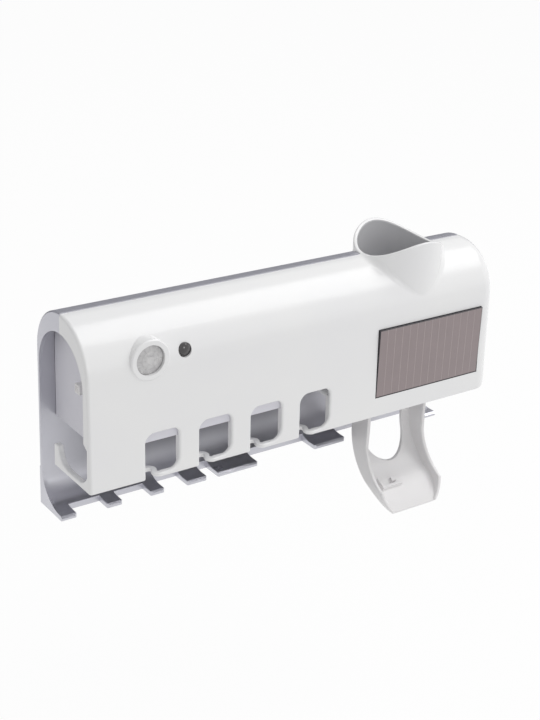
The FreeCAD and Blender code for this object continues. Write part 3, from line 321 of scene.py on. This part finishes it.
def fusedQuartz():
    look = quartzLook
    material, tree, shader, place = startMaterial("fusedQuartz", {
        "IOR": 1.46, "Transmission Weight": 1, "Base Color": hexColor(look["clear"])})
    streak = addNode(tree, "ShaderNodeTexWave", {
        "bands_direction": "Y", "Scale": perMetre(look["streak"]) * look["bandTurn"], "Distortion": 2},
                     {"Vector": place})
    gloss = addNode(tree, "ShaderNodeMapRange", {"To Min": look["gloss"][0], "To Max": look["gloss"][1]},
                    {"Value": streak.outputs[1]})
    connect(tree, shader, {"Roughness": gloss.outputs[0]})
    return material


# lamps: moulded resin on ceramic carriers, pale with a violet cast under a clear coat
lampLook = {"pale": "#e6e2f0", "violet": "#c9c1de", "speck": 0.8, "gloss": (0.15, 0.3)}


def lampResin():
    look = lampLook
    material, tree, shader, place = startMaterial("lampResin", {"IOR": 1.52, "Coat Weight": 0.8})
    speck = addNode(tree, "ShaderNodeTexNoise", {"Scale": perMetre(look["speck"]), "Detail": 3}, {"Vector": place})
    tone = addNode(tree, "ShaderNodeMix", {
        "data_type": "RGBA", 6: hexColor(look["pale"]), 7: hexColor(look["violet"])}, {0: speck.outputs[0]})
    gloss = addNode(tree, "ShaderNodeMapRange", {"To Min": look["gloss"][0], "To Max": look["gloss"][1]},
                    {"Value": speck.outputs[0]})
    connect(tree, shader, {"Base Color": tone.outputs[2], "Roughness": gloss.outputs[0]})
    return material


# cell: shrink sleeve of blue PVC, tight and shiny with shallow wrinkles
sleeveLook = {"blue": "#2c4f86", "fold": "#24426f", "crease": 5, "creaseTwist": 1.5, "creaseDepth": 0.08,
              "gloss": (0.18, 0.32)}


def shrinkSleeve():
    look = sleeveLook
    material, tree, shader, place = startMaterial("shrinkSleeve", {"IOR": 1.53})
    crease = addNode(tree, "ShaderNodeTexNoise", {
        "Scale": perMetre(look["crease"]), "Detail": 3, "Distortion": look["creaseTwist"]}, {"Vector": place})
    tone = addNode(tree, "ShaderNodeMix", {
        "data_type": "RGBA", 6: hexColor(look["blue"]), 7: hexColor(look["fold"])}, {0: crease.outputs[0]})
    gloss = addNode(tree, "ShaderNodeMapRange", {"To Min": look["gloss"][0], "To Max": look["gloss"][1]},
                    {"Value": crease.outputs[0]})
    skin = addNode(tree, "ShaderNodeBump", {"Strength": 0.4, "Distance": look["creaseDepth"] * mm},
                   {"Height": crease.outputs[0]})
    connect(tree, shader, {
        "Base Color": tone.outputs[2], "Roughness": gloss.outputs[0], "Normal": skin.outputs[0]})
    return material


# screws, pins and spring: zinc-plated steel, cool bright grey with a slightly clouded polish
steelLook = {"bright": "#c9cacd", "cloud": "#a9abb2", "spot": 1.6, "gloss": (0.22, 0.45),
             "scratch": 0.25, "scratchDepth": 0.006}
recessShadeLook = dict(steelLook, bright="#57585c", cloud="#3d3e42")  # painted shade in the screws' crosses, a darker steel that stands in for the recess's shadow


def zincPlatedSteel(name, look):
    material, tree, shader, place = startMaterial(name, {"Metallic": 1})
    spot = addNode(tree, "ShaderNodeTexNoise", {"Scale": perMetre(look["spot"]), "Detail": 4}, {"Vector": place})
    tone = addNode(tree, "ShaderNodeMix", {
        "data_type": "RGBA", 6: hexColor(look["bright"]), 7: hexColor(look["cloud"])}, {0: spot.outputs[0]})
    gloss = addNode(tree, "ShaderNodeMapRange", {"To Min": look["gloss"][0], "To Max": look["gloss"][1]},
                    {"Value": spot.outputs[0]})
    scratch = addNode(tree, "ShaderNodeTexNoise", {"Scale": perMetre(look["scratch"]), "Detail": 2},
                      {"Vector": place})
    skin = addNode(tree, "ShaderNodeBump", {"Strength": 0.4, "Distance": look["scratchDepth"] * mm},
                   {"Height": scratch.outputs[0]})
    connect(tree, shader, {
        "Base Color": tone.outputs[2], "Roughness": gloss.outputs[0], "Normal": skin.outputs[0]})
    return material


# seals, valve and bellows: clear moulded silicone, glassy but hazed, light goes through softly
siliconeLook = {"clear": "#eceeee", "haze": 3, "gloss": (0.25, 0.4)}


def clearSilicone():
    look = siliconeLook
    material, tree, shader, place = startMaterial("clearSilicone", {
        "IOR": 1.41, "Transmission Weight": 0.75, "Base Color": hexColor(look["clear"])})
    haze = addNode(tree, "ShaderNodeTexNoise", {"Scale": perMetre(look["haze"]), "Detail": 3}, {"Vector": place})
    gloss = addNode(tree, "ShaderNodeMapRange", {"To Min": look["gloss"][0], "To Max": look["gloss"][1]},
                    {"Value": haze.outputs[0]})
    connect(tree, shader, {"Roughness": gloss.outputs[0]})
    return material


finishes = {
    "white_plastic": glossyWhiteAbs(), "lever_plastic": satinWhiteAbs(),
    "silver_plated_plastic": satinPlatedAbs(), "grey_plastic": matGreyAbs(),
    "dark_plastic": darkAbs(), "milky_plastic": milkyPolyethylene(),
    "clear_red_plastic": smokedEpoxy(), "circuit_board": maskedGlassEpoxy(),
    "quartz": fusedQuartz(), "lamp_resin": lampResin(), "cell_sleeve": shrinkSleeve(),
    "steel": zincPlatedSteel("zincPlatedSteel", steelLook),
    "steel_painted_shade": zincPlatedSteel("paintedShadeZincRecess", recessShadeLook),
    "clear_silicone": clearSilicone()}
dressed = {
    "white_plastic": ["front_cover", "outlet_nozzle"],
    "lever_plastic": ["push_lever", "pump_plunger"],
    "silver_plated_plastic": ["wall_base"],
    "grey_plastic": ["electronics_box", "lamp_tray", "tube_seat", "pump_housing", "plunger_cap"],
    "dark_plastic": ["battery_cradle", "switch_body", "panel_gasket"],
    "clear_red_plastic": ["indicator_led", "indicator_bezel"],
    "circuit_board": ["main_board", "sensor_board", "uv_strip"],
    "quartz": ["uv_window"],
    "lamp_resin": ["uv_leds"],
    "cell_sleeve": ["battery_cell"],
    "steel": ["pir_sensor", "board_screws", "sensor_screws", "lever_pins", "cover_screws", "pump_screws",
              "plunger_spring"],
    "milky_plastic": ["pir_lens"],
    "clear_silicone": ["tube_seal", "inlet_valve", "pump_bellows"]}
for finish, wearers in dressed.items():
    for wearer in wearers:
        nodes[wearer].data.materials.clear()
        nodes[wearer].data.materials.append(finishes[finish])
print("materials on the solids:", len(finishes))


def clearSelection():
    if bpy.context.object and bpy.context.object.mode != "OBJECT":
        bpy.ops.object.mode_set(mode="OBJECT")
    bpy.ops.object.select_all(action="DESELECT")


def pickFaces(piece, test):
    bpy.ops.mesh.select_mode(type="FACE")
    bpy.ops.mesh.select_all(action="DESELECT")
    for face in bmesh.from_edit_mesh(piece.data).faces:
        if test(face):
            face.select_set(True)
    bmesh.update_edit_mesh(piece.data)


def pickEdges(piece, test):
    bpy.ops.mesh.select_mode(type="EDGE")
    bpy.ops.mesh.select_all(action="DESELECT")
    for edge in bmesh.from_edit_mesh(piece.data).edges:
        if test(edge):
            edge.select_set(True)
    bmesh.update_edit_mesh(piece.data)


def faceMaterial(piece, index, test):
    for face in bmesh.from_edit_mesh(piece.data).faces:
        if test(face):
            face.material_index = index
    bmesh.update_edit_mesh(piece.data)


# solar sheet: a glass plate with its border, its cell strips and the silver lines between them
panelForm = {
    "strips": 14, "border": 0.22, "line": 0.28, "sink": 0.05, "lip": 0.03, "edge": 0.15, "edgeSteps": 2,
    "film": "#8f8081", "filmShade": "#867879", "filmCloud": 8,
    "silver": "#bbadac", "tarnish": "#a59897", "pasteGrain": 0.5}


def siliconFilm():  # vapour-laid silicon behind glass, an even purple-brown with a wet shine
    look = panelForm
    material, tree, shader, place = startMaterial("siliconFilmUnderGlass", {
        "IOR": 1.5, "Roughness": 0.35, "Coat Weight": 1, "Coat Roughness": 0.06, "Coat IOR": 1.5})
    cloud = addNode(tree, "ShaderNodeTexNoise", {"Scale": perMetre(look["filmCloud"]), "Detail": 3},
                    {"Vector": place})
    tone = addNode(tree, "ShaderNodeMix", {
        "data_type": "RGBA", 6: hexColor(look["film"]), 7: hexColor(look["filmShade"])}, {0: cloud.outputs[0]})
    connect(tree, shader, {"Base Color": tone.outputs[2]})
    return material


def silverPaste():  # screen-printed silver, pale dull lines behind the same glass
    look = panelForm
    material, tree, shader, place = startMaterial("silverPasteLine", {
        "IOR": 1.5, "Roughness": 0.4, "Coat Weight": 1, "Coat Roughness": 0.06})
    grain = addNode(tree, "ShaderNodeTexNoise", {"Scale": perMetre(look["pasteGrain"]), "Detail": 2},
                    {"Vector": place})
    tone = addNode(tree, "ShaderNodeMix", {
        "data_type": "RGBA", 6: hexColor(look["silver"]), 7: hexColor(look["tarnish"])}, {0: grain.outputs[0]})
    connect(tree, shader, {"Base Color": tone.outputs[2]})
    return material


def makeSolarSheet():
    form = panelForm
    low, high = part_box("solar_panel")
    clearSelection()
    bpy.ops.mesh.primitive_cube_add(size=1, location=(low + high) / 2)
    sheet = bpy.context.object
    sheet.name = "solarSheet"
    sheet.scale = high - low
    bpy.ops.object.transform_apply(location=True, rotation=False, scale=True)
    for finish in (siliconFilm(), silverPaste(), finishes["dark_plastic"]):
        sheet.data.materials.append(finish)
    bpy.ops.object.mode_set(mode="EDIT")
    pickEdges(sheet, lambda edge: all(v.co.y < low.y + tiny for v in edge.verts))
    bpy.ops.mesh.bevel(offset=form["edge"] * mm, segments=form["edgeSteps"])
    pickFaces(sheet, lambda face: face.normal.y < -facing)
    bpy.ops.mesh.inset(thickness=form["border"] * mm, depth=0)
    faceMaterial(sheet, 2, lambda face: not face.select)
    rim = (form["edge"] + form["border"]) * mm
    left, right = low.x + rim, high.x - rim
    pitch = (right - left) / form["strips"]
    half = form["line"] * mm / 2

    def inField(face):
        spot = face.calc_center_median()
        return face.normal.y < -facing and left < spot.x < right and low.z + rim < spot.z < high.z - rim

    def isLine(face):
        along = (face.calc_center_median().x - left + pitch / 2) % pitch - pitch / 2
        return inField(face) and abs(along) < half

    for index in range(1, form["strips"]):
        for side in (-half, half):
            pickFaces(sheet, inField)
            bpy.ops.mesh.bisect(plane_co=(left + pitch * index + side, 0, 0), plane_no=(1, 0, 0))
    faceMaterial(sheet, 1, isLine)
    pickFaces(sheet, isLine)
    bpy.ops.mesh.inset(thickness=form["lip"] * mm, depth=-form["sink"] * mm)  # the lines lie a little below
    bpy.ops.object.mode_set(mode="OBJECT")
    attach(sheet, "housing")
    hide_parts("solar_panel")


makeSolarSheet()
print("solar sheet done")

# sensor lens: a domed disc with rings of small raised lenslets, twelve outside, six inside and one in the middle.
# Each band has its width, its steps and its count of lenslets
lensForm = {
    "sides": 72, "flange": 1.5, "flangeDepth": 1.4, "lip": 0.3, "dome": 1.6,
    "bands": [(0.5, 1, 0), (2.7, 4, 12), (2.7, 4, 6)], "groove": 0.2, "swell": 0.16, "smooth": 24}


def raiseDome(ball, reach, width, steps):
    for index in range(steps):  # the selected face shrinks and rises along a ball
        inner = reach - width / steps
        rise = math.sqrt(ball ** 2 - inner ** 2) - math.sqrt(ball ** 2 - reach ** 2)
        bpy.ops.mesh.inset(thickness=reach - inner, depth=rise)
        reach = inner
    return reach


def makeLens():
    form = lensForm
    low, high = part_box("pir_lens")
    middle = (low + high) / 2
    whole = (high.x - low.x) / 2
    radius = whole - form["flange"] * mm
    thick = form["flangeDepth"] * mm
    dome = form["dome"] * mm
    ball = (radius ** 2 + dome ** 2) / (2 * dome)
    clearSelection()
    bpy.ops.mesh.primitive_cylinder_add(
        vertices=form["sides"], radius=whole, depth=thick,
        location=(middle.x, high.y - thick / 2, middle.z), rotation=(math.pi / 2, 0, 0))
    lens = bpy.context.object
    lens.name = "segmentedLens"
    bpy.ops.object.transform_apply(location=True, rotation=True, scale=True)
    bpy.ops.object.mode_set(mode="EDIT")
    pickFaces(lens, lambda face: face.normal.y < -facing)
    bpy.ops.mesh.inset(thickness=form["flange"] * mm, depth=0)
    bpy.ops.mesh.extrude_region_move(TRANSFORM_OT_translate={"value": (0, -form["lip"] * mm, 0)})
    edges = [radius]
    for width, steps, count in form["bands"]:
        edges.append(raiseDome(ball, edges[-1], width * mm, steps))
    bpy.ops.mesh.inset(thickness=form["groove"] * mm, depth=form["swell"] * mm)  # the lenslet in the middle
    front = high.y - thick - form["lip"] * mm / 2
    for band, (width, steps, count) in enumerate(form["bands"]):
        for index in range(count):
            def inLenslet(face):
                spot = face.calc_center_median() - middle
                turn = math.atan2(spot.z, spot.x) % math.tau
                inBand = edges[band + 1] < math.hypot(spot.x, spot.z) < edges[band]
                return inBand and spot.y + middle.y < front and int(turn * count / math.tau) == index
            pickFaces(lens, inLenslet)
            bpy.ops.mesh.inset(thickness=form["groove"] * mm / 2, depth=form["swell"] * mm)
    bpy.ops.object.mode_set(mode="OBJECT")
    bpy.ops.object.shade_smooth_by_angle(angle=math.radians(form["smooth"]))
    lens.data.materials.append(finishes["milky_plastic"])
    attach(lens, "housing")
    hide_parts("pir_lens")


makeLens()
print("lens done")

# indicator: a stem in the bezel's bore and a smoked dome that sits on the bezel's face
indicatorForm = {"sides": 48, "stem": 2.35, "skirt": 3.45, "rise": 1.35, "steps": 9, "ringShare": 0.95,
                 "smooth": 40}


def makeIndicator():
    form = indicatorForm
    low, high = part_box("indicator_led")
    middle = (low + high) / 2
    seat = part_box("indicator_bezel")[0].y
    skirt, rise = form["skirt"] * mm, form["rise"] * mm
    ball = (skirt ** 2 + rise ** 2) / (2 * rise)
    clearSelection()
    bpy.ops.mesh.primitive_cylinder_add(
        vertices=form["sides"], radius=form["stem"] * mm, depth=high.y - seat,
        location=(middle.x, (high.y + seat) / 2, middle.z), rotation=(math.pi / 2, 0, 0))
    indicator = bpy.context.object
    indicator.name = "smokedIndicator"
    bpy.ops.object.transform_apply(location=True, rotation=True, scale=True)
    bpy.ops.object.mode_set(mode="EDIT")
    pickFaces(indicator, lambda face: face.normal.y < -facing)
    bpy.ops.mesh.extrude_region_move()
    spread = skirt / (form["stem"] * mm)
    bpy.ops.transform.resize(value=(spread, 1, spread), center_override=(middle.x, seat, middle.z))
    raiseDome(ball, skirt, skirt * form["ringShare"], form["steps"])
    bpy.ops.object.mode_set(mode="OBJECT")
    bpy.ops.object.shade_smooth_by_angle(angle=math.radians(form["smooth"]))
    indicator.data.materials.append(finishes["clear_red_plastic"])
    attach(indicator, "housing")
    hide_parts("indicator_led")


makeIndicator()
print("indicator done")

# slide switch: a cap with finger grooves across its travel, and the stem that goes into the switch
knobForm = {"reach": 5.4, "stem": 3.0, "edge": 0.7, "edgeSteps": 4, "grooves": 4, "margin": 0.9, "land": 0.3,
            "sink": 0.45, "smooth": 30}


def makeKnob():
    form = knobForm
    low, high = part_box("switch_knob")
    middle = (low + high) / 2
    capEnd = low.x + form["reach"] * mm
    clearSelection()
    bpy.ops.mesh.primitive_cube_add(size=1, location=((low.x + capEnd) / 2, middle.y, middle.z))
    knob = bpy.context.object
    knob.name = "groovedKnob"
    knob.scale = (capEnd - low.x, high.y - low.y, high.z - low.z)
    bpy.ops.object.transform_apply(location=True, rotation=False, scale=True)
    bpy.ops.object.mode_set(mode="EDIT")
    pickEdges(knob, lambda edge: min(v.co.x for v in edge.verts) < low.x + tiny)
    bpy.ops.mesh.bevel(offset=form["edge"] * mm, segments=form["edgeSteps"])
    margin = form["margin"] * mm
    bottom = low.z + margin
    pitch = (high.z - low.z - 2 * margin) / form["grooves"]
    land = form["land"] * mm / 2

    def onTip(face):
        return face.normal.x < -facing

    def inGroove(face):
        place = (face.calc_center_median().z - bottom) / pitch
        return onTip(face) and 0 < place < form["grooves"] and land / pitch < place % 1 < 1 - land / pitch

    for index in range(form["grooves"]):
        for cut in (bottom + pitch * index + land, bottom + pitch * (index + 1) - land):
            pickFaces(knob, onTip)
            bpy.ops.mesh.bisect(plane_co=(0, 0, cut), plane_no=(0, 0, 1))
    pickFaces(knob, inGroove)
    bpy.ops.mesh.inset(thickness=land, depth=-form["sink"] * mm)
    pickFaces(knob, lambda face: face.normal.x > facing)
    side = (high.y - low.y - form["stem"] * mm) / 2
    bpy.ops.mesh.inset(thickness=side, depth=0)
    bpy.ops.mesh.extrude_region_move(TRANSFORM_OT_translate={"value": (high.x - capEnd, 0, 0)})
    bpy.ops.object.mode_set(mode="OBJECT")
    bpy.ops.object.shade_smooth_by_angle(angle=math.radians(form["smooth"]))
    knob.data.materials.append(finishes["lever_plastic"])
    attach(knob, "switch")
    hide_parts("switch_knob")


makeKnob()
print("knob done")

# screws: flat heads with a rounded rim and a cross recess, and a ridged shank, each set modelled once and copied.
# Rim, arm and slit are shares of the head's radius, sink of its height, ridge and point of the shank's radius
screwForms = {
    "large": {"head": 2.8, "height": 1.8, "shank": 1.4, "length": 12.0},
    "small": {"head": 1.9, "height": 1.2, "shank": 0.9, "length": 5.0},
    "sides": 32, "rim": 0.22, "rimSteps": 3, "arm": 0.56, "slit": 0.2, "sink": 0.55, "pitch": 0.8, "ridge": 0.86,
    "point": 0.5, "smooth": 30}
screwSets = {  # size, which way the head faces, and the seats under the heads
    "cover_screws": ("large", 1, [(40, -2.4, -22), (122, -2.4, -22), (-8, -2.4, 35), (40, -2.4, 35),
                                  (122, -2.4, 35)]),
    "pump_screws": ("large", 1, [(71, -2.4, 4), (93, -2.4, 4)]),
    "board_screws": ("small", -1, [(-106, -13.6, 1), (-106, -13.6, 36), (-32, -13.6, 1), (-32, -13.6, 36)]),
    "sensor_screws": ("small", 1, [(-88.1, -42.95, 33.8), (-75.1, -42.95, 48.8)])}


def makeScrew(form):
    shared = screwForms
    radius, height = form["head"] * mm, form["height"] * mm
    clearSelection()
    bpy.ops.mesh.primitive_cylinder_add(
        vertices=shared["sides"], radius=radius, depth=height,
        location=(0, height / 2, 0), rotation=(math.pi / 2, 0, 0))
    screw = bpy.context.object
    bpy.ops.object.transform_apply(location=True, rotation=True, scale=True)
    for finish in ("steel", "steel_painted_shade"):
        screw.data.materials.append(finishes[finish])
    bpy.ops.object.mode_set(mode="EDIT")

    def onTop(face):
        return face.normal.y > facing and face.calc_center_median().y > height - tiny

    pickEdges(screw, lambda edge: all(v.co.y > height - tiny for v in edge.verts))
    bpy.ops.mesh.bevel(offset=shared["rim"] * radius, segments=shared["rimSteps"])
    arm, slit = shared["arm"] * radius, shared["slit"] * radius
    for cut in (-arm, -slit, slit, arm):
        for way in ((1, 0, 0), (0, 0, 1)):
            pickFaces(screw, onTop)
            bpy.ops.mesh.bisect(plane_co=Vector(way) * cut, plane_no=way)

    def inCross(face):
        spot = face.calc_center_median()
        across, along = sorted((abs(spot.x), abs(spot.z)))
        return onTop(face) and across < slit and along < arm

    pickFaces(screw, inCross)
    bpy.ops.mesh.extrude_region_move(TRANSFORM_OT_translate={"value": (0, -shared["sink"] * height, 0)})
    bpy.ops.mesh.select_more()
    # painted shade: the recess's walls and floor take the darker steel, standing in for the shadow in the cross
    faceMaterial(screw, 1, lambda face: face.select and not onTop(face))
    pickFaces(screw, lambda face: face.normal.y < -facing and face.calc_center_median().y < tiny)
    bpy.ops.mesh.inset(thickness=radius - form["shank"] * mm, depth=0)
    turns = int(form["length"] / shared["pitch"])
    rise = form["length"] * mm / (2 * turns)
    sizes = [shared["ridge"], 1 / shared["ridge"]] * turns  # the shank narrows and widens again
    sizes[-1] = shared["point"]
    for index, size in enumerate(sizes):
        bpy.ops.mesh.extrude_region_move(TRANSFORM_OT_translate={"value": (0, -rise, 0)})
        bpy.ops.transform.resize(value=(size, 1, size), center_override=(0, -rise * (index + 1), 0))
    bpy.ops.object.mode_set(mode="OBJECT")
    bpy.ops.object.shade_smooth_by_angle(angle=math.radians(shared["smooth"]))
    return screw


def makeScrews():
    for node, (size, way, seats) in screwSets.items():
        pattern = makeScrew(screwForms[size])
        turn = Matrix.Rotation(math.pi if way < 0 else 0, 4, "Z")
        copies = []
        for seat in seats:
            copy = pattern.copy()
            copy.data = pattern.data.copy()
            copy.data.transform(Matrix.Translation(Vector(seat) * mm) @ turn)
            bpy.context.scene.collection.objects.link(copy)
            copies.append(copy)
        bpy.data.objects.remove(pattern)
        clearSelection()
        for copy in copies:
            copy.select_set(True)
        bpy.context.view_layer.objects.active = copies[0]
        bpy.ops.object.join()
        screws = bpy.context.object
        screws.name = "crossHead" + node.title().replace("_", "")
        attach(screws, "housing")
        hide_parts(node)


makeScrews()
print("screws done")

# return spring: one round wire wound up from the plunger's head to the top of its bore
springForm = {"wire": 0.9, "radius": 6.6, "turns": 3, "sides": 12, "steps": 40, "keep": 0.34, "rest": -1.0,
              "smooth": 50}


def makeSpring():
    form = springForm
    low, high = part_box("plunger_spring")
    middle = (low + high) / 2
    wire = form["wire"] * mm
    rise = high.z - low.z - wire
    clearSelection()
    bpy.ops.mesh.primitive_circle_add(
        vertices=form["sides"], radius=wire / 2,
        location=(form["radius"] * mm, 0, 0), rotation=(math.pi / 2, 0, 0))
    spring = bpy.context.object
    spring.name = "returnSpring"
    bpy.ops.object.transform_apply(location=True, rotation=True, scale=True)
    wind = spring.modifiers.new("wind", "SCREW")
    wind.angle = math.tau
    wind.screw_offset = rise / form["turns"]
    wind.iterations = form["turns"]
    wind.steps = form["steps"]
    wind.render_steps = form["steps"]
    bpy.ops.object.modifier_apply(modifier="wind")
    bpy.ops.object.mode_set(mode="EDIT")
    bpy.ops.mesh.select_all(action="SELECT")
    bpy.ops.mesh.remove_doubles(threshold=tiny)
    pickEdges(spring, lambda edge: len(edge.link_faces) == 1)
    bpy.ops.mesh.edge_face_add()
    bpy.ops.mesh.select_all(action="SELECT")
    bpy.ops.mesh.normals_make_consistent(inside=False)
    bpy.ops.transform.translate(value=(middle.x, middle.y, low.z + wire / 2))
    bpy.ops.object.mode_set(mode="OBJECT")
    bpy.ops.object.shade_smooth_by_angle(angle=math.radians(form["smooth"]))
    spring.data.materials.append(finishes["steel"])
    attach(spring, "housing")
    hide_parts("plunger_spring")
    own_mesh(spring)


makeSpring()
print("spring done")

# bellows: a thin silicone tube with two soft folds, inside the spring
bellowsForm = {"wall": 0.9, "fold": 1.2, "folds": 2, "sides": 32, "softShare": 0.25, "softSteps": 3, "keep": 0.34,
               "rest": -1.0, "smooth": 40}


def makeBellows():
    form = bellowsForm
    low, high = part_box("pump_bellows")
    middle = (low + high) / 2
    wide = (high.x - low.x) / 2
    narrow = wide - form["fold"] * mm
    rise = (high.z - low.z) / (2 * form["folds"])
    clearSelection()
    bpy.ops.mesh.primitive_circle_add(
        vertices=form["sides"], radius=wide, location=(middle.x, middle.y, low.z))
    bellows = bpy.context.object
    bellows.name = "pumpBellows"
    bpy.ops.object.transform_apply(location=True, rotation=False, scale=False)
    bpy.ops.object.mode_set(mode="EDIT")
    bpy.ops.mesh.select_all(action="SELECT")
    for index, size in enumerate([narrow / wide, wide / narrow] * form["folds"]):
        centre = (middle.x, middle.y, low.z + rise * (index + 1))
        bpy.ops.mesh.extrude_region_move(TRANSFORM_OT_translate={"value": (0, 0, rise)})
        bpy.ops.transform.resize(value=(size, size, 1), center_override=centre)
    bpy.ops.mesh.select_all(action="SELECT")
    bpy.ops.mesh.normals_make_consistent(inside=False)
    bpy.ops.object.mode_set(mode="OBJECT")
    wall = bellows.modifiers.new("wall", "SOLIDIFY")
    wall.thickness = form["wall"] * mm
    wall.offset = -1
    bpy.ops.object.modifier_apply(modifier="wall")
    soft = bellows.modifiers.new("soft", "BEVEL")
    soft.width = form["wall"] * mm * form["softShare"]
    soft.segments = form["softSteps"]
    bpy.ops.object.modifier_apply(modifier="soft")
    bpy.ops.object.shade_smooth_by_angle(angle=math.radians(form["smooth"]))
    bellows.data.materials.append(finishes["clear_silicone"])
    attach(bellows, "housing")
    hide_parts("pump_bellows")
    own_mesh(bellows)


makeBellows()
print("bellows done")

# studio, in metres: pale floor under a white surround, one broad lamp high at the right, a small one in front
# for glints, and a grey card behind that only reflections see, a painted reflection that darkens the plating's
# tops. Each lamp has its place, size and watts
studio = {
    "floor": -0.23, "floorSpan": 14.0, "floorSteps": 8, "paper": "#f6f6f6", "white": "#ffffff",
    "glow": 0.94, "ambient": 0.56,
    "lamps": {"broadLamp": ((0.95, -0.35, 1.42), 1.3, 14), "glintLamp": ((0.1, -1.5, 0.45), 0.4, 1.8)},
    "cardPlace": (0.5, 0.8, 0.25), "cardSize": (2.4, 0.9, 1), "cardSteps": 4, "cardTone": "#a0a0a6"}


def emptyMaterial(name):
    material = bpy.data.materials.new(name)
    material.use_nodes = True
    material.node_tree.nodes.clear()
    return material, material.node_tree


def whiteToEye(tree):
    path = addNode(tree, "ShaderNodeLightPath")
    direct = addNode(tree, "ShaderNodeMath", {"operation": "MAXIMUM"},
                     {0: path.outputs["Is Camera Ray"], 1: path.outputs["Is Glossy Ray"]})
    seen = addNode(tree, "ShaderNodeMath", {"operation": "MAXIMUM"},
                   {0: direct.outputs[0], 1: path.outputs["Is Transmission Ray"]})
    return seen.outputs[0]


def makeFloor():
    clearSelection()
    bpy.ops.mesh.primitive_grid_add(
        x_subdivisions=studio["floorSteps"], y_subdivisions=studio["floorSteps"], size=studio["floorSpan"],
        location=(0, 0, studio["floor"]))
    floor = bpy.context.object
    floor.name = "paleFloor"
    bpy.ops.object.transform_apply(location=True)
    material, tree = emptyMaterial("paleFloorPaper")
    share = addNode(tree, "ShaderNodeMath", {"operation": "MULTIPLY", 1: studio["glow"]}, {0: whiteToEye(tree)})
    paper = addNode(tree, "ShaderNodeBsdfDiffuse", {"Color": hexColor(studio["paper"])})
    white = addNode(tree, "ShaderNodeEmission", {"Color": hexColor(studio["white"]), "Strength": 1})
    mixed = addNode(tree, "ShaderNodeMixShader", None,
                    {0: share.outputs[0], 1: paper.outputs[0], 2: white.outputs[0]})
    addNode(tree, "ShaderNodeOutputMaterial", None, {"Surface": mixed.outputs[0]})
    floor.data.materials.append(material)


def makeSurround():
    world = bpy.data.worlds.new("whiteSurround")
    bpy.context.scene.world = world
    world.use_nodes = True
    tree = world.node_tree
    tree.nodes.clear()
    strength = addNode(tree, "ShaderNodeMapRange", {"To Min": studio["ambient"], "To Max": 1},
                       {"Value": whiteToEye(tree)})
    glow = addNode(tree, "ShaderNodeBackground", {"Color": hexColor(studio["white"])},
                   {"Strength": strength.outputs[0]})
    addNode(tree, "ShaderNodeOutputWorld", None, {"Surface": glow.outputs[0]})


def makeCard():
    clearSelection()
    bpy.ops.mesh.primitive_grid_add(
        x_subdivisions=studio["cardSteps"], y_subdivisions=studio["cardSteps"], size=1,
        location=studio["cardPlace"], rotation=(math.pi / 2, 0, 0))
    card = bpy.context.object
    card.name = "darkCard"
    card.scale = studio["cardSize"]
    bpy.ops.object.transform_apply(location=True, rotation=True, scale=True)
    material, tree = emptyMaterial("paintedReflectionCard")
    # painted reflection: this grey lights nothing and is never seen straight on, it only darkens what the plating
    # reflects
    reflectedGrey = addNode(tree, "ShaderNodeBsdfDiffuse", {"Color": hexColor(studio["cardTone"])})
    addNode(tree, "ShaderNodeOutputMaterial", None, {"Surface": reflectedGrey.outputs[0]})
    card.data.materials.append(material)
    for sight in ("camera", "diffuse", "transmission", "volume_scatter", "shadow"):
        setattr(card, "visible_" + sight, False)  # only reflections see it


def makeLamps():
    for name, (place, size, power) in studio["lamps"].items():
        data = bpy.data.lights.new(name, "AREA")
        data.size = size
        data.energy = power
        lamp = bpy.data.objects.new(name, data)
        bpy.context.scene.collection.objects.link(lamp)
        lamp.location = place
        lamp.rotation_euler = (-Vector(place)).to_track_quat("-Z", "Y").to_euler()


makeFloor()
makeSurround()
makeCard()
makeLamps()
print("studio done")

# camera: where the photograph was taken from, found by fitting known edges
viewpoint = {
    "place": (-444.5, -641.9, 337.7), "lens": 71.27, "sensor": 36, "clip": (10, 20000),
    "right": (0.82324, -0.56630, 0.03970), "up": (0.19663, 0.35006, 0.91586),
    "back": (-0.53255, -0.74617, 0.39954)}


def makeCamera():
    data = bpy.data.cameras.new("viewCamera")
    data.lens = viewpoint["lens"]
    data.sensor_width = viewpoint["sensor"]
    data.clip_start, data.clip_end = (distance * mm for distance in viewpoint["clip"])
    camera = bpy.data.objects.new("viewCamera", data)
    bpy.context.scene.collection.objects.link(camera)
    turn = Matrix((viewpoint["right"], viewpoint["up"], viewpoint["back"])).transposed()
    camera.matrix_world = Matrix.Translation(Vector(viewpoint["place"]) * mm) @ turn.to_4x4()
    bpy.context.scene.camera = camera


makeCamera()
bpy.context.scene.view_settings.view_transform = "Standard"
print("camera done")
